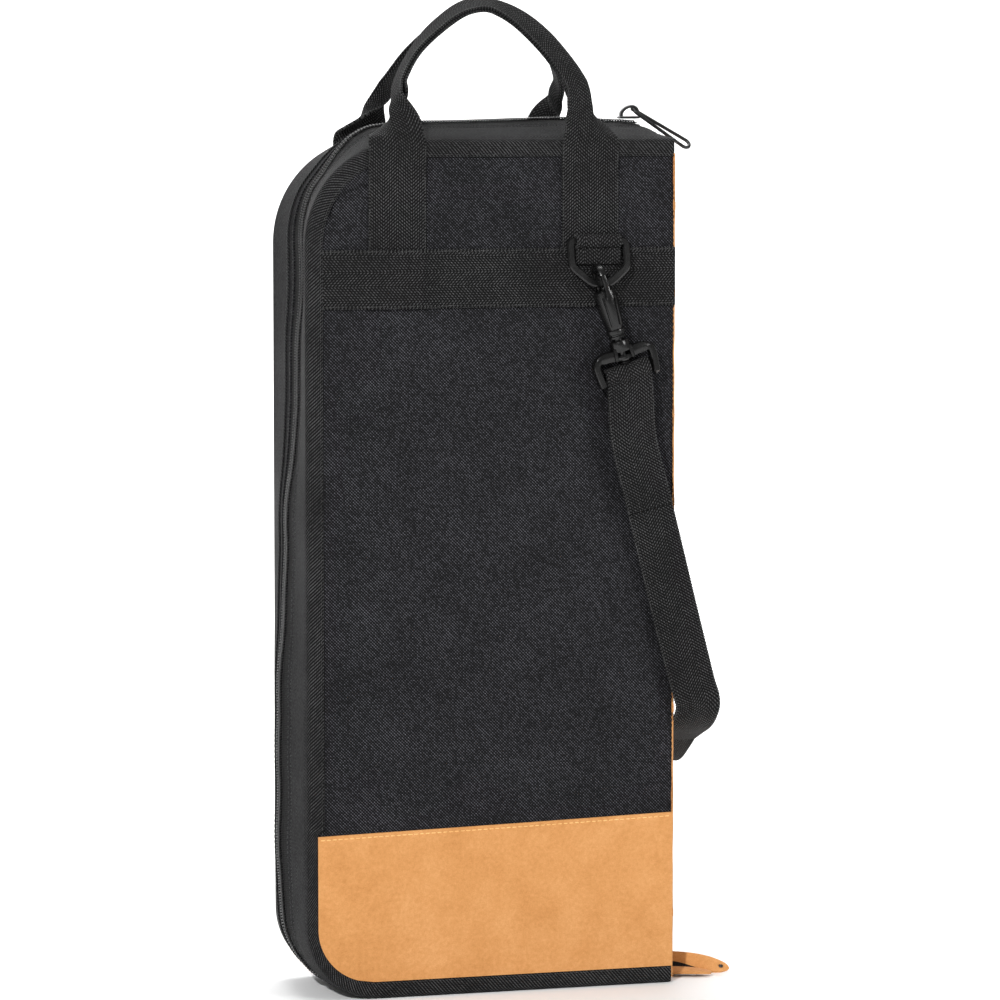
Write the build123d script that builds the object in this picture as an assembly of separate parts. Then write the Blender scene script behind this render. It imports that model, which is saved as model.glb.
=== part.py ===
from build123d import *
import os
from math import cos, radians, sin, tan

# Drum stick bag, standing on its base. Millimetres, +Z up, +X towards the spine, -Y towards the
# back face that carries the shoulder strap's near end. The origin is the middle of the base.
# The bag is two trays, back and front, joined by a folding spine and closed by a zipper.

# Driving dimensions of the case
WIDTH = 210.0
DEPTH = 76.0
HEIGHT = 472.0
TOP_CORNER = 58.0
BASE_CORNER = 41.0
CROWN = 10.0
CROWN_END = 80.0
GUSSET_END = 98.0

# Fabric thicknesses
FABRIC = 1.0
FOAM = 4.2
LINING = 0.8
BINDING = 1.2
SUEDE = 1.2
WEB = 1.4

# Binding and zipper widths, measured along the cloth
BINDING_FACE = 10.0
BINDING_SIDE = 20.0
TAPE_START = 13.0
COIL_HALF = 3.2
COIL_GAP = 0.9
COIL_HIGH = 2.2
ZIP_END = 80.0

# Face fittings
SUEDE_TOP = 94.0
BAND_LOW = 380.0
BAND_HIGH = 412.0
HANDLE_WEB = 32.0
LEG_LEFT = -53.5
LEG_RIGHT = 56.0
LEG_STEP = HEIGHT - 18.0
LEG_TOP = HEIGHT + 1.0

# Handles
HANDLE_PIVOT_Z = HEIGHT + 2.0
HANDLE_LEAN = 23.8
HANDLE_START = 2.4
HANDLE_TAPER = 20.0
GRIP_WIDTH = 12.0
GRIP_THICK = 5.0

# Spine
SPINE_SIDE_GAP = 0.4
SPINE_LOW = 3.0
SPINE_HIGH = 463.5

# Shoulder strap and its fittings
STRAP_WEB = 25.4
STRAP_THICK = 1.6
RING_X = 59.5
RING_BAR_Z = 415.8
RING_WIDTH = 36.0
RING_HEIGHT = 26.0
RING_BAR = 4.2
RING_TILT = 15.0
HOOK_TILT = 17.0
HOOK_DROP = 22.0
STRAP_Y = 45.0
STRAP_FOLD_END = 64.6
STRAP_LOOP_Z = 158.0
STRAP_LOOP_X = WIDTH / 2 + 1.3
STRAP_LOOP_RISE = 9.4
ADJUSTER_DROP = 35.0

# Snap hook, measured from the middle of its eye along its own axis
EYE_HALF_WIDTH = 2.2
EYE_OUTER = 8.5
EYE_INNER = 4.5
EYE_TOP = 7.4
EYE_INSIDE_TOP = 3.6
BARREL_RADIUS = 6.8
BARREL_TOP = -6.6
COLLAR_RADIUS = 4.6
COLLAR_TOP = -28.0
COLLAR_FOOT = -33.0
SHANK_RADIUS = 2.6
HEAD_RADIUS = 3.8
HEAD_TOP = -46.0
HEAD_FOOT = -48.0
GATE_SLOT = 2.0
GATE_FOOT = -8.4
BRIDGE_TOP = -38.0
BRIDGE_FOOT = -45.6
BASE_HALF_WIDTH = 17.5
BASE_INSIDE = 13.3
BASE_FOOT = -60.0
STRAP_BAR_Z = -55.0
STRAP_BAR_RADIUS = 1.6

# Zipper slider and pull
SLIDER_X = 90.5
PLATE = 1.4
PULL_YAW = 15.0
PULL_DROOP = 28.5
PULL_LENGTH = 38.0
PULL_WIRE = 1.5
PULL_HOLE = PULL_WIRE / 2 + 0.85
PULL_PIVOT_X = 2.0
PULL_HEIGHT = 3.9
SLIDER_HALF_LENGTH = 6.0
SLIDER_HALF_WIDTH = 5.5

# Suede tab over the zipper's closed end
TAB_THICK = 4.5
TAB_SLOPE = 9.0
TAB_HOLE = 1.6

# Inner sleeves and outer pocket
SLEEVE_LEFT = -88.0
SLEEVE_RIGHT = 90.0
SLEEVE_LOW = 12.0
SLEEVE_TOP = 270.0
SLEEVE_DEPTH = 14.0
SLEEVE_WALL = 1.0
POCKET_LEFT = -88.0
POCKET_RIGHT = 58.0
POCKET_LOW = 112.0
POCKET_HIGH = 322.0
POCKET_DEPTH = 9.0
POCKET_ZIP_END = 14.0
POCKET_ZIP_HALF = 1.6
POCKET_TAPE_HALF = 9.0

CLEAR = 0.35

FACE = DEPTH / 2
BACKING = FACE - BINDING
FOAM_OUT = BACKING - FABRIC
LINING_OUT = FOAM_OUT - FOAM
TRAY_FLOOR = LINING_OUT - LINING
SPINE_FACE = WIDTH / 2
RIDGE = HEIGHT + CROWN
PULL_PIVOT_Z = CLEAR + PLATE + PULL_HEIGHT
POCKET_OUT = BACKING + POCKET_DEPTH + FABRIC
POCKET_ZIP_Z = POCKET_HIGH - 14.0
POCKET_ZIP_SPAN = (POCKET_LEFT + POCKET_ZIP_END, POCKET_RIGHT - POCKET_ZIP_END)
POCKET_PLATE_LOW = 0.3 + CLEAR
POCKET_PIVOT = POCKET_PLATE_LOW + PLATE + 1.6
RING_BAR_Y = BACKING + WEB + 3.9
HOOK_EYE_Y = RING_BAR_Y + HOOK_DROP * sin(radians(RING_TILT))
HOOK_EYE_Z = RING_BAR_Z - HOOK_DROP * cos(radians(RING_TILT))


def slab(profile, y_low, y_high):
    """Solid between two depths, from an outline drawn in X and Z."""
    plane = Plane(origin=(0, (y_low + y_high) / 2, 0), x_dir=(1, 0, 0), z_dir=(0, -1, 0))
    return extrude(plane * profile, amount=(y_high - y_low) / 2, both=True)


def block(x_range, y_range, z_range):
    """Box between pairs of low and high coordinates."""
    size = [high - low for low, high in (x_range, y_range, z_range)]
    middle = [(high + low) / 2 for low, high in (x_range, y_range, z_range)]
    return Pos(*middle) * Box(*size)


def half_outline(inset=0.0, right=SPINE_FACE, crown=0.0):
    """Side outline of one tray: square at the spine, rounded at the zipper corners."""
    left = -WIDTH / 2 + inset
    top = HEIGHT + crown - inset
    top_radius = TOP_CORNER - inset
    base_radius = BASE_CORNER - inset
    shoulder = min(CROWN_END, right) if crown else right
    edges = [
        Line((right, inset), (left + base_radius, inset)),
        CenterArc((left + base_radius, inset + base_radius), base_radius, 180, 90),
        Line((left, inset + base_radius), (left, top - top_radius)),
        CenterArc((left + top_radius, top - top_radius), top_radius, 90, 90),
        Line((left + top_radius, top), (shoulder, top)),
    ]
    if shoulder < right:
        edges.append(Line((shoulder, top), (right, top - crown)))
        top = top - crown
    edges.append(Line((right, top), (right, inset)))
    return make_face(edges)


def edge_ring(outer_inset, inner_inset, right=SPINE_FACE, crown=0.0, inner_crown=None):
    """Open C-shaped band that follows the three zipped sides of a tray."""
    inner_crown = crown if inner_crown is None else inner_crown
    outer = half_outline(outer_inset, right, crown)
    inner = half_outline(inner_inset, right + WIDTH, inner_crown)
    return outer - inner


def to_front(part):
    """Mirror a back-half part onto the front half."""
    return mirror(part, about=Plane.XZ)


# ---- Case layers ---------------------------------------------------------------------------


def panel():
    return slab(half_outline(BINDING), -BACKING, -FOAM_OUT)


def foam():
    return slab(half_outline(2 * BINDING + 0.2), -FOAM_OUT, -LINING_OUT)


def lining():
    return slab(half_outline(2 * BINDING + 0.2), -LINING_OUT, -TRAY_FLOOR)


def suede_base():
    face = half_outline(BINDING_FACE + 0.1)
    keep = Pos(0, SUEDE_TOP / 2) * Rectangle(2 * WIDTH, SUEDE_TOP)
    return slab(face & keep, -FACE, -BACKING)


def binding():
    """Twill tape folded round the tray's edge: a strip on the face and a wider one on the side."""
    face_strip = slab(edge_ring(0, BINDING_FACE), -FACE, -BACKING)
    side_strip = slab(edge_ring(0, BINDING), -BACKING, -(FACE - BINDING_SIDE))
    return face_strip + side_strip


def gusset():
    """Fabric wall behind the binding, stepped up at the top to carry the crowned zipper."""
    step = FACE - BINDING_SIDE
    lower = slab(edge_ring(BINDING, 2 * BINDING, GUSSET_END), -TRAY_FLOOR, -step)
    upper = slab(edge_ring(0, 2 * BINDING, GUSSET_END, CROWN, 0.0), -step, -TAPE_START)
    return lower + upper


def zipper_tape():
    return slab(edge_ring(0.6, 1.6, ZIP_END, CROWN), -TAPE_START, -COIL_HALF)


def zipper_coil():
    return slab(edge_ring(0, COIL_HIGH, ZIP_END, CROWN), -COIL_HALF, -COIL_GAP)


def stick_sleeve(walls):
    """Open-topped inner pocket with upright dividers that keep the sticks apart."""
    inner = -(TRAY_FLOOR - SLEEVE_DEPTH)
    across = (SLEEVE_LEFT, SLEEVE_RIGHT)
    upright = (SLEEVE_LOW, SLEEVE_TOP)
    sleeve = block(across, (inner - SLEEVE_WALL, inner), upright)
    sleeve += block(across, (-TRAY_FLOOR, inner), (SLEEVE_LOW, SLEEVE_LOW + SLEEVE_WALL))
    for number in range(walls + 1):
        x = SLEEVE_LEFT + (SLEEVE_RIGHT - SLEEVE_LEFT - SLEEVE_WALL) * number / walls
        sleeve += block((x, x + SLEEVE_WALL), (-TRAY_FLOOR, inner), upright)
    return sleeve


# ---- Webbing on the faces ------------------------------------------------------------------


def cross_band():
    left = -WIDTH / 2 + BINDING_FACE + 0.1
    return block((left, SPINE_FACE), (-BACKING - WEB, -BACKING), (BAND_LOW, BAND_HIGH))


def handle_legs():
    """Both handle legs: up the face from the cross band, then out over the binding."""
    legs = Part()
    for x in (LEG_LEFT, LEG_RIGHT):
        span = (x - HANDLE_WEB / 2, x + HANDLE_WEB / 2)
        lower = block(span, (-BACKING - WEB, -BACKING), (BAND_HIGH, LEG_STEP))
        upper = block(span, (-BACKING - 2 * WEB, -BACKING - WEB), (LEG_STEP - 3, LEG_TOP))
        legs += lower + upper
    return legs


def ring_tab():
    """Webbing tab that is sewn above the cross band and loops round the D-ring's bar."""
    outer = 3.7
    hole = RING_BAR / 2 + CLEAR
    width = STRAP_WEB
    loop = Cylinder(outer, width, rotation=(0, 90, 0))
    stem_y = (outer - 2 * WEB, outer)
    stem = block((-width / 2, width / 2), stem_y, (-7.8, 0))
    tab = loop + stem - Cylinder(hole, width + 2, rotation=(0, 90, 0))
    return Pos(RING_X, -RING_BAR_Y, RING_BAR_Z) * tab


# ---- Handles -------------------------------------------------------------------------------


def handle_grip():
    """Webbing handle: flat feet that narrow, then an arch folded to half the web's width."""
    middle = (LEG_LEFT + LEG_RIGHT) / 2
    radius = (LEG_RIGHT - LEG_LEFT) / 2
    foot = Polygon(
        (-HANDLE_WEB / 2, HANDLE_START),
        (HANDLE_WEB / 2, HANDLE_START),
        (GRIP_WIDTH / 2, HANDLE_TAPER),
        (-GRIP_WIDTH / 2, HANDLE_TAPER),
        align=None,
    )
    half = GRIP_WIDTH / 2
    arch = Circle(radius + half) - Circle(radius - half)
    upper = Pos(0, radius) * Rectangle(3 * radius, 2 * radius)
    arch = Pos(middle, HANDLE_TAPER) * (arch & upper)
    grip = slab(arch, -GRIP_THICK / 2, GRIP_THICK / 2)
    for x in (LEG_LEFT, LEG_RIGHT):
        grip += slab(Pos(x, 0) * foot, -WEB / 2 - 0.1, WEB / 2 + 0.1)
    pivot = Pos(0, -BACKING - 1.5 * WEB, HANDLE_PIVOT_Z)
    return pivot * Rot(-HANDLE_LEAN, 0, 0) * grip


# ---- D-ring and swivel snap hook -----------------------------------------------------------


def d_ring():
    """Ring with a straight top bar and a V foot, hung from the tab and tipped off the face."""
    side, shoulder, foot = RING_WIDTH / 2, -14.0, 6.0
    bottom = -RING_HEIGHT + RING_BAR / 2
    top = RING_BAR / 2
    outer = Polygon(
        (-side, top), (side, top), (side, shoulder), (foot, bottom), (-foot, bottom),
        (-side, shoulder), align=None,
    )
    ring = slab(outer - offset(outer, -RING_BAR, kind=Kind.INTERSECTION), -2.0, 2.0)
    ring -= block((-side + RING_BAR, side - RING_BAR), (-3, 3), (-top, top + 1))
    ring += Cylinder(RING_BAR / 2, RING_WIDTH - 2 * RING_BAR, rotation=(0, 90, 0))
    return Pos(RING_X, -RING_BAR_Y, RING_BAR_Z) * Rot(-RING_TILT, 0, 0) * ring


def at_hook(part):
    """Place a part drawn about the hook's own axis, which leans outwards as it hangs."""
    return Pos(RING_X, -HOOK_EYE_Y, HOOK_EYE_Z) * Rot(0, -HOOK_TILT, 0) * part


def drum(radius, low, high):
    """Upright round section between two heights on the hook's axis."""
    return Pos(0, 0, (low + high) / 2) * Cylinder(radius, high - low)


def hook():
    """Snap hook: an open eye on a barrel, a swivel shank and the shank's retaining head."""
    wide = (-EYE_HALF_WIDTH, EYE_HALF_WIDTH)
    eye = block(wide, (-EYE_OUTER, EYE_OUTER), (BARREL_TOP - 4, EYE_TOP))
    eye = fillet(eye.edges().filter_by(Axis.X).group_by(Axis.Z)[-1], 4.0)
    eye -= block((-5, 5), (-EYE_OUTER - 1, EYE_INNER), (BARREL_TOP, EYE_INSIDE_TOP))
    body = eye + drum(BARREL_RADIUS, COLLAR_TOP, BARREL_TOP)
    body += drum(COLLAR_RADIUS, COLLAR_FOOT, COLLAR_TOP)
    gate_seat = (GATE_FOOT - 0.8, BARREL_TOP + 0.1)
    body -= block((-GATE_SLOT, GATE_SLOT), (-EYE_OUTER - 1, -EYE_INNER), gate_seat)
    shank = drum(SHANK_RADIUS, HEAD_TOP, COLLAR_FOOT) + drum(HEAD_RADIUS, HEAD_FOOT, HEAD_TOP)
    return at_hook(body + shank)


def hook_gate():
    """Spring gate that closes the eye on its outer side."""
    half = GATE_SLOT - CLEAR
    gate = block((-half, half), (-EYE_OUTER, -EYE_INNER - CLEAR), (GATE_FOOT, EYE_INSIDE_TOP - CLEAR))
    return at_hook(gate)


def swivel_base():
    """Frame that turns on the hook's shank and holds the strap on its lower bar."""
    across = (-BASE_HALF_WIDTH, BASE_HALF_WIDTH)
    frame = block(across, (-4.5, 4.5), (BRIDGE_FOOT, BRIDGE_TOP))
    frame -= drum(SHANK_RADIUS + CLEAR, BRIDGE_FOOT - 1, BRIDGE_TOP + 1)
    for side in (-1, 1):
        arm = sorted((side * BASE_HALF_WIDTH, side * BASE_INSIDE))
        frame += block(arm, (-3.0, 3.0), (BASE_FOOT, BRIDGE_FOOT))
    bar = Cylinder(STRAP_BAR_RADIUS, 2 * BASE_INSIDE + 1, rotation=(0, 90, 0))
    return at_hook(frame + Pos(0, 0, STRAP_BAR_Z) * bar)


def strap_fold():
    """End of the strap, folded round the swivel base's bar."""
    inner = STRAP_BAR_RADIUS + CLEAR
    outer = inner + STRAP_THICK
    turn = Cylinder(outer, STRAP_WEB, rotation=(0, 90, 0))
    tails = block((-STRAP_WEB / 2, STRAP_WEB / 2), (-outer, outer), (-9.0, 0.0))
    hollow = Cylinder(inner, STRAP_WEB + 1, rotation=(0, 90, 0))
    return at_hook(Pos(0, 0, STRAP_BAR_Z) * (turn + tails - hollow))


# ---- Shoulder strap ------------------------------------------------------------------------


def strap_start():
    """Lower end of the folded strap end, as x and z."""
    lean = radians(HOOK_TILT)
    return RING_X + STRAP_FOLD_END * sin(lean), HOOK_EYE_Z - STRAP_FOLD_END * cos(lean)


def strap_run():
    """Straight stretch of webbing that hangs from the hook to beside the spine."""
    x, z = strap_start()
    low_z = STRAP_LOOP_Z + 10.0
    low_x = STRAP_LOOP_X + STRAP_WEB / 2
    half = STRAP_WEB / 2
    rise = half * tan(radians(HOOK_TILT))
    ribbon = Polygon(
        (x - half, z - rise), (low_x - half, low_z), (low_x + half, low_z), (x + half, z + rise),
        align=None,
    )
    return slab(ribbon, -STRAP_Y - STRAP_THICK / 2, -STRAP_Y + STRAP_THICK / 2)


def strap_loop():
    """Slack bight that carries the strap round the spine from the back to the front."""
    outer = STRAP_Y + STRAP_THICK / 2
    inner = STRAP_Y - STRAP_THICK / 2
    below = Pos(0, -outer) * Rectangle(4 * outer, 2 * outer)
    bight = (Circle(outer) - Circle(inner)) & below
    for side in (-1, 1):
        bight += Pos(side * STRAP_Y, STRAP_LOOP_RISE / 2) * Rectangle(STRAP_THICK, STRAP_LOOP_RISE)
    plane = Plane(origin=(STRAP_LOOP_X, 0, STRAP_LOOP_Z), x_dir=(0, 1, 0), z_dir=(1, 0, 0))
    return extrude(plane * bight, amount=STRAP_WEB)


def strap_lean():
    """Angle of the straight stretch of strap from upright, in degrees."""
    x, z = strap_start()
    run = STRAP_LOOP_X + STRAP_WEB / 2 - x
    return Vector(0, 1).get_angle(Vector(run, z - STRAP_LOOP_Z - 10.0))


def strap_adjuster():
    """Three-bar slide that sets the strap's length, threaded on the front stretch."""
    x, z = strap_start()
    lean = strap_lean()
    frame = block((-17.5, 17.5), (-3.2, 3.2), (-11, 11))
    slot = block((-14.2, 14.2), (-1.3, 1.3), (-12, 12))
    window = block((-13.6, 13.6), (-4, 4), (2.0, 8.2))
    slide = frame - slot - window - mirror(window, about=Plane.XY)
    at = Pos(x + ADJUSTER_DROP * tan(radians(lean)), STRAP_Y, z - ADJUSTER_DROP)
    return at * Rot(0, -lean, 0) * slide


# ---- Spine ---------------------------------------------------------------------------------


def spine_layer(outer, inner):
    half = TRAY_FLOOR - SPINE_SIDE_GAP
    return block((inner, outer), (-half, half), (SPINE_LOW, SPINE_HIGH))


def zipper_end_tab():
    """Folded suede tab over the zipper's end, standing out from the foot of the spine."""
    leaf = Polygon((-3, -9), (24, -8), (34, -2), (34, 2), (24, 8), (-3, 9), align=None)
    tab = extrude(leaf, amount=TAB_THICK)
    tab -= Pos(29, 0, 2) * Cylinder(TAB_HOLE, 2 * TAB_THICK)
    tab = Pos(SPINE_FACE, 0, 8.0) * Rot(0, TAB_SLOPE, 0) * tab
    return tab - block((SPINE_FACE - 10, SPINE_FACE), (-20, 20), (-20, 40))


# ---- Zipper sliders ------------------------------------------------------------------------


def slider(half_length, half_width, gap_low, gap_high):
    """Slider body: a plate on each face of the zipper and a post that parts the coils."""
    length = (-half_length, half_length)
    width = (-half_width, half_width)
    body = block(length, width, (gap_high, gap_high + PLATE))
    body += block(length, width, (gap_low - PLATE, gap_low))
    return body + block((1.0, half_length - 0.5), (-0.3, 0.3), (gap_low, gap_high))


def pull_bridge(pivot_height):
    """Bridge on the slider's plate, with a cross hole at the origin for the pull's wire."""
    top = PULL_HOLE + 1.1
    bridge = block((-3.4, 2.6), (-0.9, 0.9), (-pivot_height, top))
    return bridge - Cylinder(PULL_HOLE, 4, rotation=(90, 0, 0))


def wire_pull(length, half_width):
    """Long narrow loop of bent wire lying along +X, with the middle of its end at the origin."""
    straight = length - 2 * half_width
    outer = SlotCenterToCenter(straight, 2 * half_width + PULL_WIRE)
    inner = SlotCenterToCenter(straight, 2 * half_width - PULL_WIRE)
    return Pos(length / 2, 0, 0) * extrude(outer - inner, amount=PULL_WIRE / 2, both=True)


def zip_slider():
    body = slider(SLIDER_HALF_LENGTH, SLIDER_HALF_WIDTH, -COIL_HIGH - CLEAR, CLEAR)
    bridge = Pos(PULL_PIVOT_X, 0, PULL_PIVOT_Z) * pull_bridge(PULL_HEIGHT)
    return Pos(SLIDER_X, 0, RIDGE) * (body + bridge)


def zip_pull():
    at = Pos(SLIDER_X + PULL_PIVOT_X, 0, RIDGE + PULL_PIVOT_Z)
    return at * Rot(0, 0, -PULL_YAW) * Rot(0, PULL_DROOP, 0) * wire_pull(PULL_LENGTH, 3.2)


# ---- Front pocket --------------------------------------------------------------------------


def front_pocket():
    """Shallow bellows pocket with a slot left across its top for the zipper."""
    x_range = (POCKET_LEFT, POCKET_RIGHT)
    pocket = block(x_range, (BACKING, POCKET_OUT), (POCKET_LOW, POCKET_HIGH))
    across = (POCKET_LEFT + FABRIC, POCKET_RIGHT - FABRIC)
    upright = (POCKET_LOW + FABRIC, POCKET_HIGH - FABRIC)
    pocket -= block(across, (BACKING - 1, POCKET_OUT - FABRIC), upright)
    opening = (POCKET_ZIP_Z - POCKET_TAPE_HALF, POCKET_ZIP_Z + POCKET_TAPE_HALF)
    return pocket - block(POCKET_ZIP_SPAN, (POCKET_OUT - 2, POCKET_OUT + 1), opening)


def pocket_tape():
    tapes = Part()
    for side in (-1, 1):
        span = sorted((POCKET_ZIP_Z + side * POCKET_ZIP_HALF, POCKET_ZIP_Z + side * POCKET_TAPE_HALF))
        tapes += block(POCKET_ZIP_SPAN, (POCKET_OUT - 0.9, POCKET_OUT), span)
    return tapes


def pocket_coil():
    coil = Part()
    for side in (-1, 1):
        span = sorted((POCKET_ZIP_Z + side * 0.6, POCKET_ZIP_Z + side * POCKET_ZIP_HALF))
        coil += block(POCKET_ZIP_SPAN, (POCKET_OUT - 1.2, POCKET_OUT + 0.3), span)
    return coil


def on_pocket(part):
    """Turn a part drawn on a level zipper so that it sits on the upright pocket."""
    at = Pos(POCKET_RIGHT - 24.0, POCKET_OUT, POCKET_ZIP_Z)
    return at * Rot(-90, 0, 0) * part


def pocket_slider():
    body = slider(5.0, 4.5, -1.2 - CLEAR, POCKET_PLATE_LOW)
    bridge = Pos(0, 0, POCKET_PIVOT) * Rot(0, 0, 90) * pull_bridge(1.6)
    return on_pocket(body + bridge)


def pocket_pull():
    return on_pocket(Pos(0, 0, POCKET_PIVOT) * Rot(0, 0, 90) * wire_pull(26.0, 2.8))


# ---- Write every node ----------------------------------------------------------------------


def half_nodes():
    """Parts that both halves have, drawn on the back half."""
    return {
        "panel": panel(),
        "foam": foam(),
        "lining": lining(),
        "suede_base": suede_base(),
        "binding": binding(),
        "gusset": gusset(),
        "zipper_tape": zipper_tape(),
        "zipper_coil": zipper_coil(),
        "cross_band": cross_band(),
        "handle_legs": handle_legs(),
        "handle_grip": handle_grip(),
        "d_ring_tab": ring_tab(),
        "d_ring": d_ring(),
        "hook": hook(),
        "hook_gate": hook_gate(),
        "swivel_base": swivel_base(),
        "strap_fold": strap_fold(),
        "strap_run": strap_run(),
    }


def build():
    nodes = {}
    for name, shape in half_nodes().items():
        nodes["back_" + name] = shape
        nodes["front_" + name] = to_front(shape)
    nodes["back_stick_sleeve"] = stick_sleeve(walls=4)
    nodes["front_stick_sleeve"] = to_front(stick_sleeve(walls=2))
    suede_in = SPINE_FACE - SUEDE
    nodes["spine_suede"] = spine_layer(SPINE_FACE, suede_in)
    nodes["spine_foam"] = spine_layer(suede_in, suede_in - FOAM)
    nodes["spine_lining"] = spine_layer(suede_in - FOAM, suede_in - FOAM - LINING)
    nodes["strap_loop"] = strap_loop()
    nodes["strap_adjuster"] = strap_adjuster()
    nodes["zipper_end_tab"] = zipper_end_tab()
    nodes["zipper_slider"] = zip_slider()
    nodes["zipper_pull"] = zip_pull()
    nodes["front_pocket"] = front_pocket()
    nodes["pocket_zipper_tape"] = pocket_tape()
    nodes["pocket_zipper_coil"] = pocket_coil()
    nodes["pocket_slider"] = pocket_slider()
    nodes["pocket_pull"] = pocket_pull()
    return nodes


os.makedirs("parts", exist_ok=True)
for name, shape in build().items():
    export_step(shape, "parts/" + name + ".step")
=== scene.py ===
from math import cos, pi, radians, sin

import bpy
import numpy as np
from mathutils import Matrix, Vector


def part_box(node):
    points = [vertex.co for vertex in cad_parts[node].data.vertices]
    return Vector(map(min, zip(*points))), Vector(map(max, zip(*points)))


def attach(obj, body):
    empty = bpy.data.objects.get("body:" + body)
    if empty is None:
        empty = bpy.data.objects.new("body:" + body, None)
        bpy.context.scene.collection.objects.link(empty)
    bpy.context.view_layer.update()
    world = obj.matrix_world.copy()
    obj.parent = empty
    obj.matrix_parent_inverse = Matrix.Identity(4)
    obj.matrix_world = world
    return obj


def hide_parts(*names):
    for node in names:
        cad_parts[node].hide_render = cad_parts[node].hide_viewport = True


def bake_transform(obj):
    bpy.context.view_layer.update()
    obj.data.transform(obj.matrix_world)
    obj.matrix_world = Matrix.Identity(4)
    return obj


# Looks of the drum stick bag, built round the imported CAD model. Lengths are in millimetres up to
# the mesh, and the mesh is in metres. Each half is drawn as the back one and mirrored for the front.

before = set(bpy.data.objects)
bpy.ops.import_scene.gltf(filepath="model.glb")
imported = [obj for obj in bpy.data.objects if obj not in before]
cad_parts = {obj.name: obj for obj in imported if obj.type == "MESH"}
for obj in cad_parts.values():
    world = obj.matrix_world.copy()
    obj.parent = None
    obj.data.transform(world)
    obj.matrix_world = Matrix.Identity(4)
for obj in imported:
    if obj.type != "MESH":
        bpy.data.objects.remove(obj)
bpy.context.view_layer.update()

MM = 0.001
WEAVE = "cloth"


def cad(node):
    """Lowest and highest corner of a CAD node, in millimetres."""
    low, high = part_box(node)
    return np.array(low) / MM, np.array(high) / MM


# Case, from the frame
(LEFT, _, _), (RIGHT, _, TOP) = cad("back_binding")
FACE = -cad("back_binding")[0][1]
BACKING = -cad("back_panel")[0][1]
SIDE_END = -cad("back_binding")[1][1]
TAPE_START = -cad("back_gusset")[1][1]
COIL_START = -cad("back_zipper_tape")[1][1]
LINING_IN = -cad("back_lining")[1][1]
CROWN = cad("back_zipper_coil")[1][2] - TOP
SUEDE_TOP = cad("back_suede_base")[1][2]
BAND_LOW = cad("back_cross_band")[0][2]
BAND_HIGH = cad("back_cross_band")[1][2]
SPINE_LOW = cad("spine_suede")[0][2]
SPINE_HIGH = cad("spine_suede")[1][2]

# Case, by choice
CORNER_TOP = 58.0
CORNER_BASE = 41.0
BINDING_FACE = 10.0
BINDING_LIFT = 0.55
CREASE = 1.8
COIL_PITCH = 1.55
SUEDE_THICK = 1.1
SUEDE_OVERLAP = 0.42
SUEDE_TILT = 0.025
SUEDE_SHIFT = 3.6
WEB_THICK = 1.3

# Webbing and fittings
HANDLE_WEB = 32.0
LEG_LEFT = -53.5
LEG_RIGHT = 56.0
LEAN = radians(23.8)
PIVOT_Y = -(BACKING + 2.1)
PIVOT_Z = TOP + 2.0
STRAP_WEB = 25.4
STRAP_Y = 45.0
RING_X = 59.5
RING_Y = 42.1
RING_Z = 415.8
RING_TILT = radians(15)
HOOK_TILT = radians(17)
HOOK_DROP = 22.0
EYE_Y = RING_Y + HOOK_DROP * sin(RING_TILT)
EYE_Z = RING_Z - HOOK_DROP * cos(RING_TILT)


# ---- Materials -----------------------------------------------------------------------------


class Field:
    """A number that varies over a surface: one socket of a material, with arithmetic."""

    def __init__(self, tree, socket):
        self.tree = tree
        self.socket = socket

    def math(self, operation, *others):
        node = self.tree.nodes.new("ShaderNodeMath")
        node.operation = operation
        for slot, value in enumerate((self, *others)):
            if isinstance(value, Field):
                self.tree.links.new(value.socket, node.inputs[slot])
            else:
                node.inputs[slot].default_value = value
        return Field(self.tree, node.outputs[0])

    def __add__(self, other):
        return self.math("ADD", other)

    def __sub__(self, other):
        return self.math("SUBTRACT", other)

    def __mul__(self, other):
        return self.math("MULTIPLY", other)

    def __truediv__(self, other):
        return self.math("DIVIDE", other)

    def wave(self):
        """From 0 to 1 and back, once for each whole number."""
        return (self * (2 * pi)).math("SINE") * 0.5 + 0.5

    def clamp(self):
        return self.math("MINIMUM", 1.0).math("MAXIMUM", 0.0)


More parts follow.
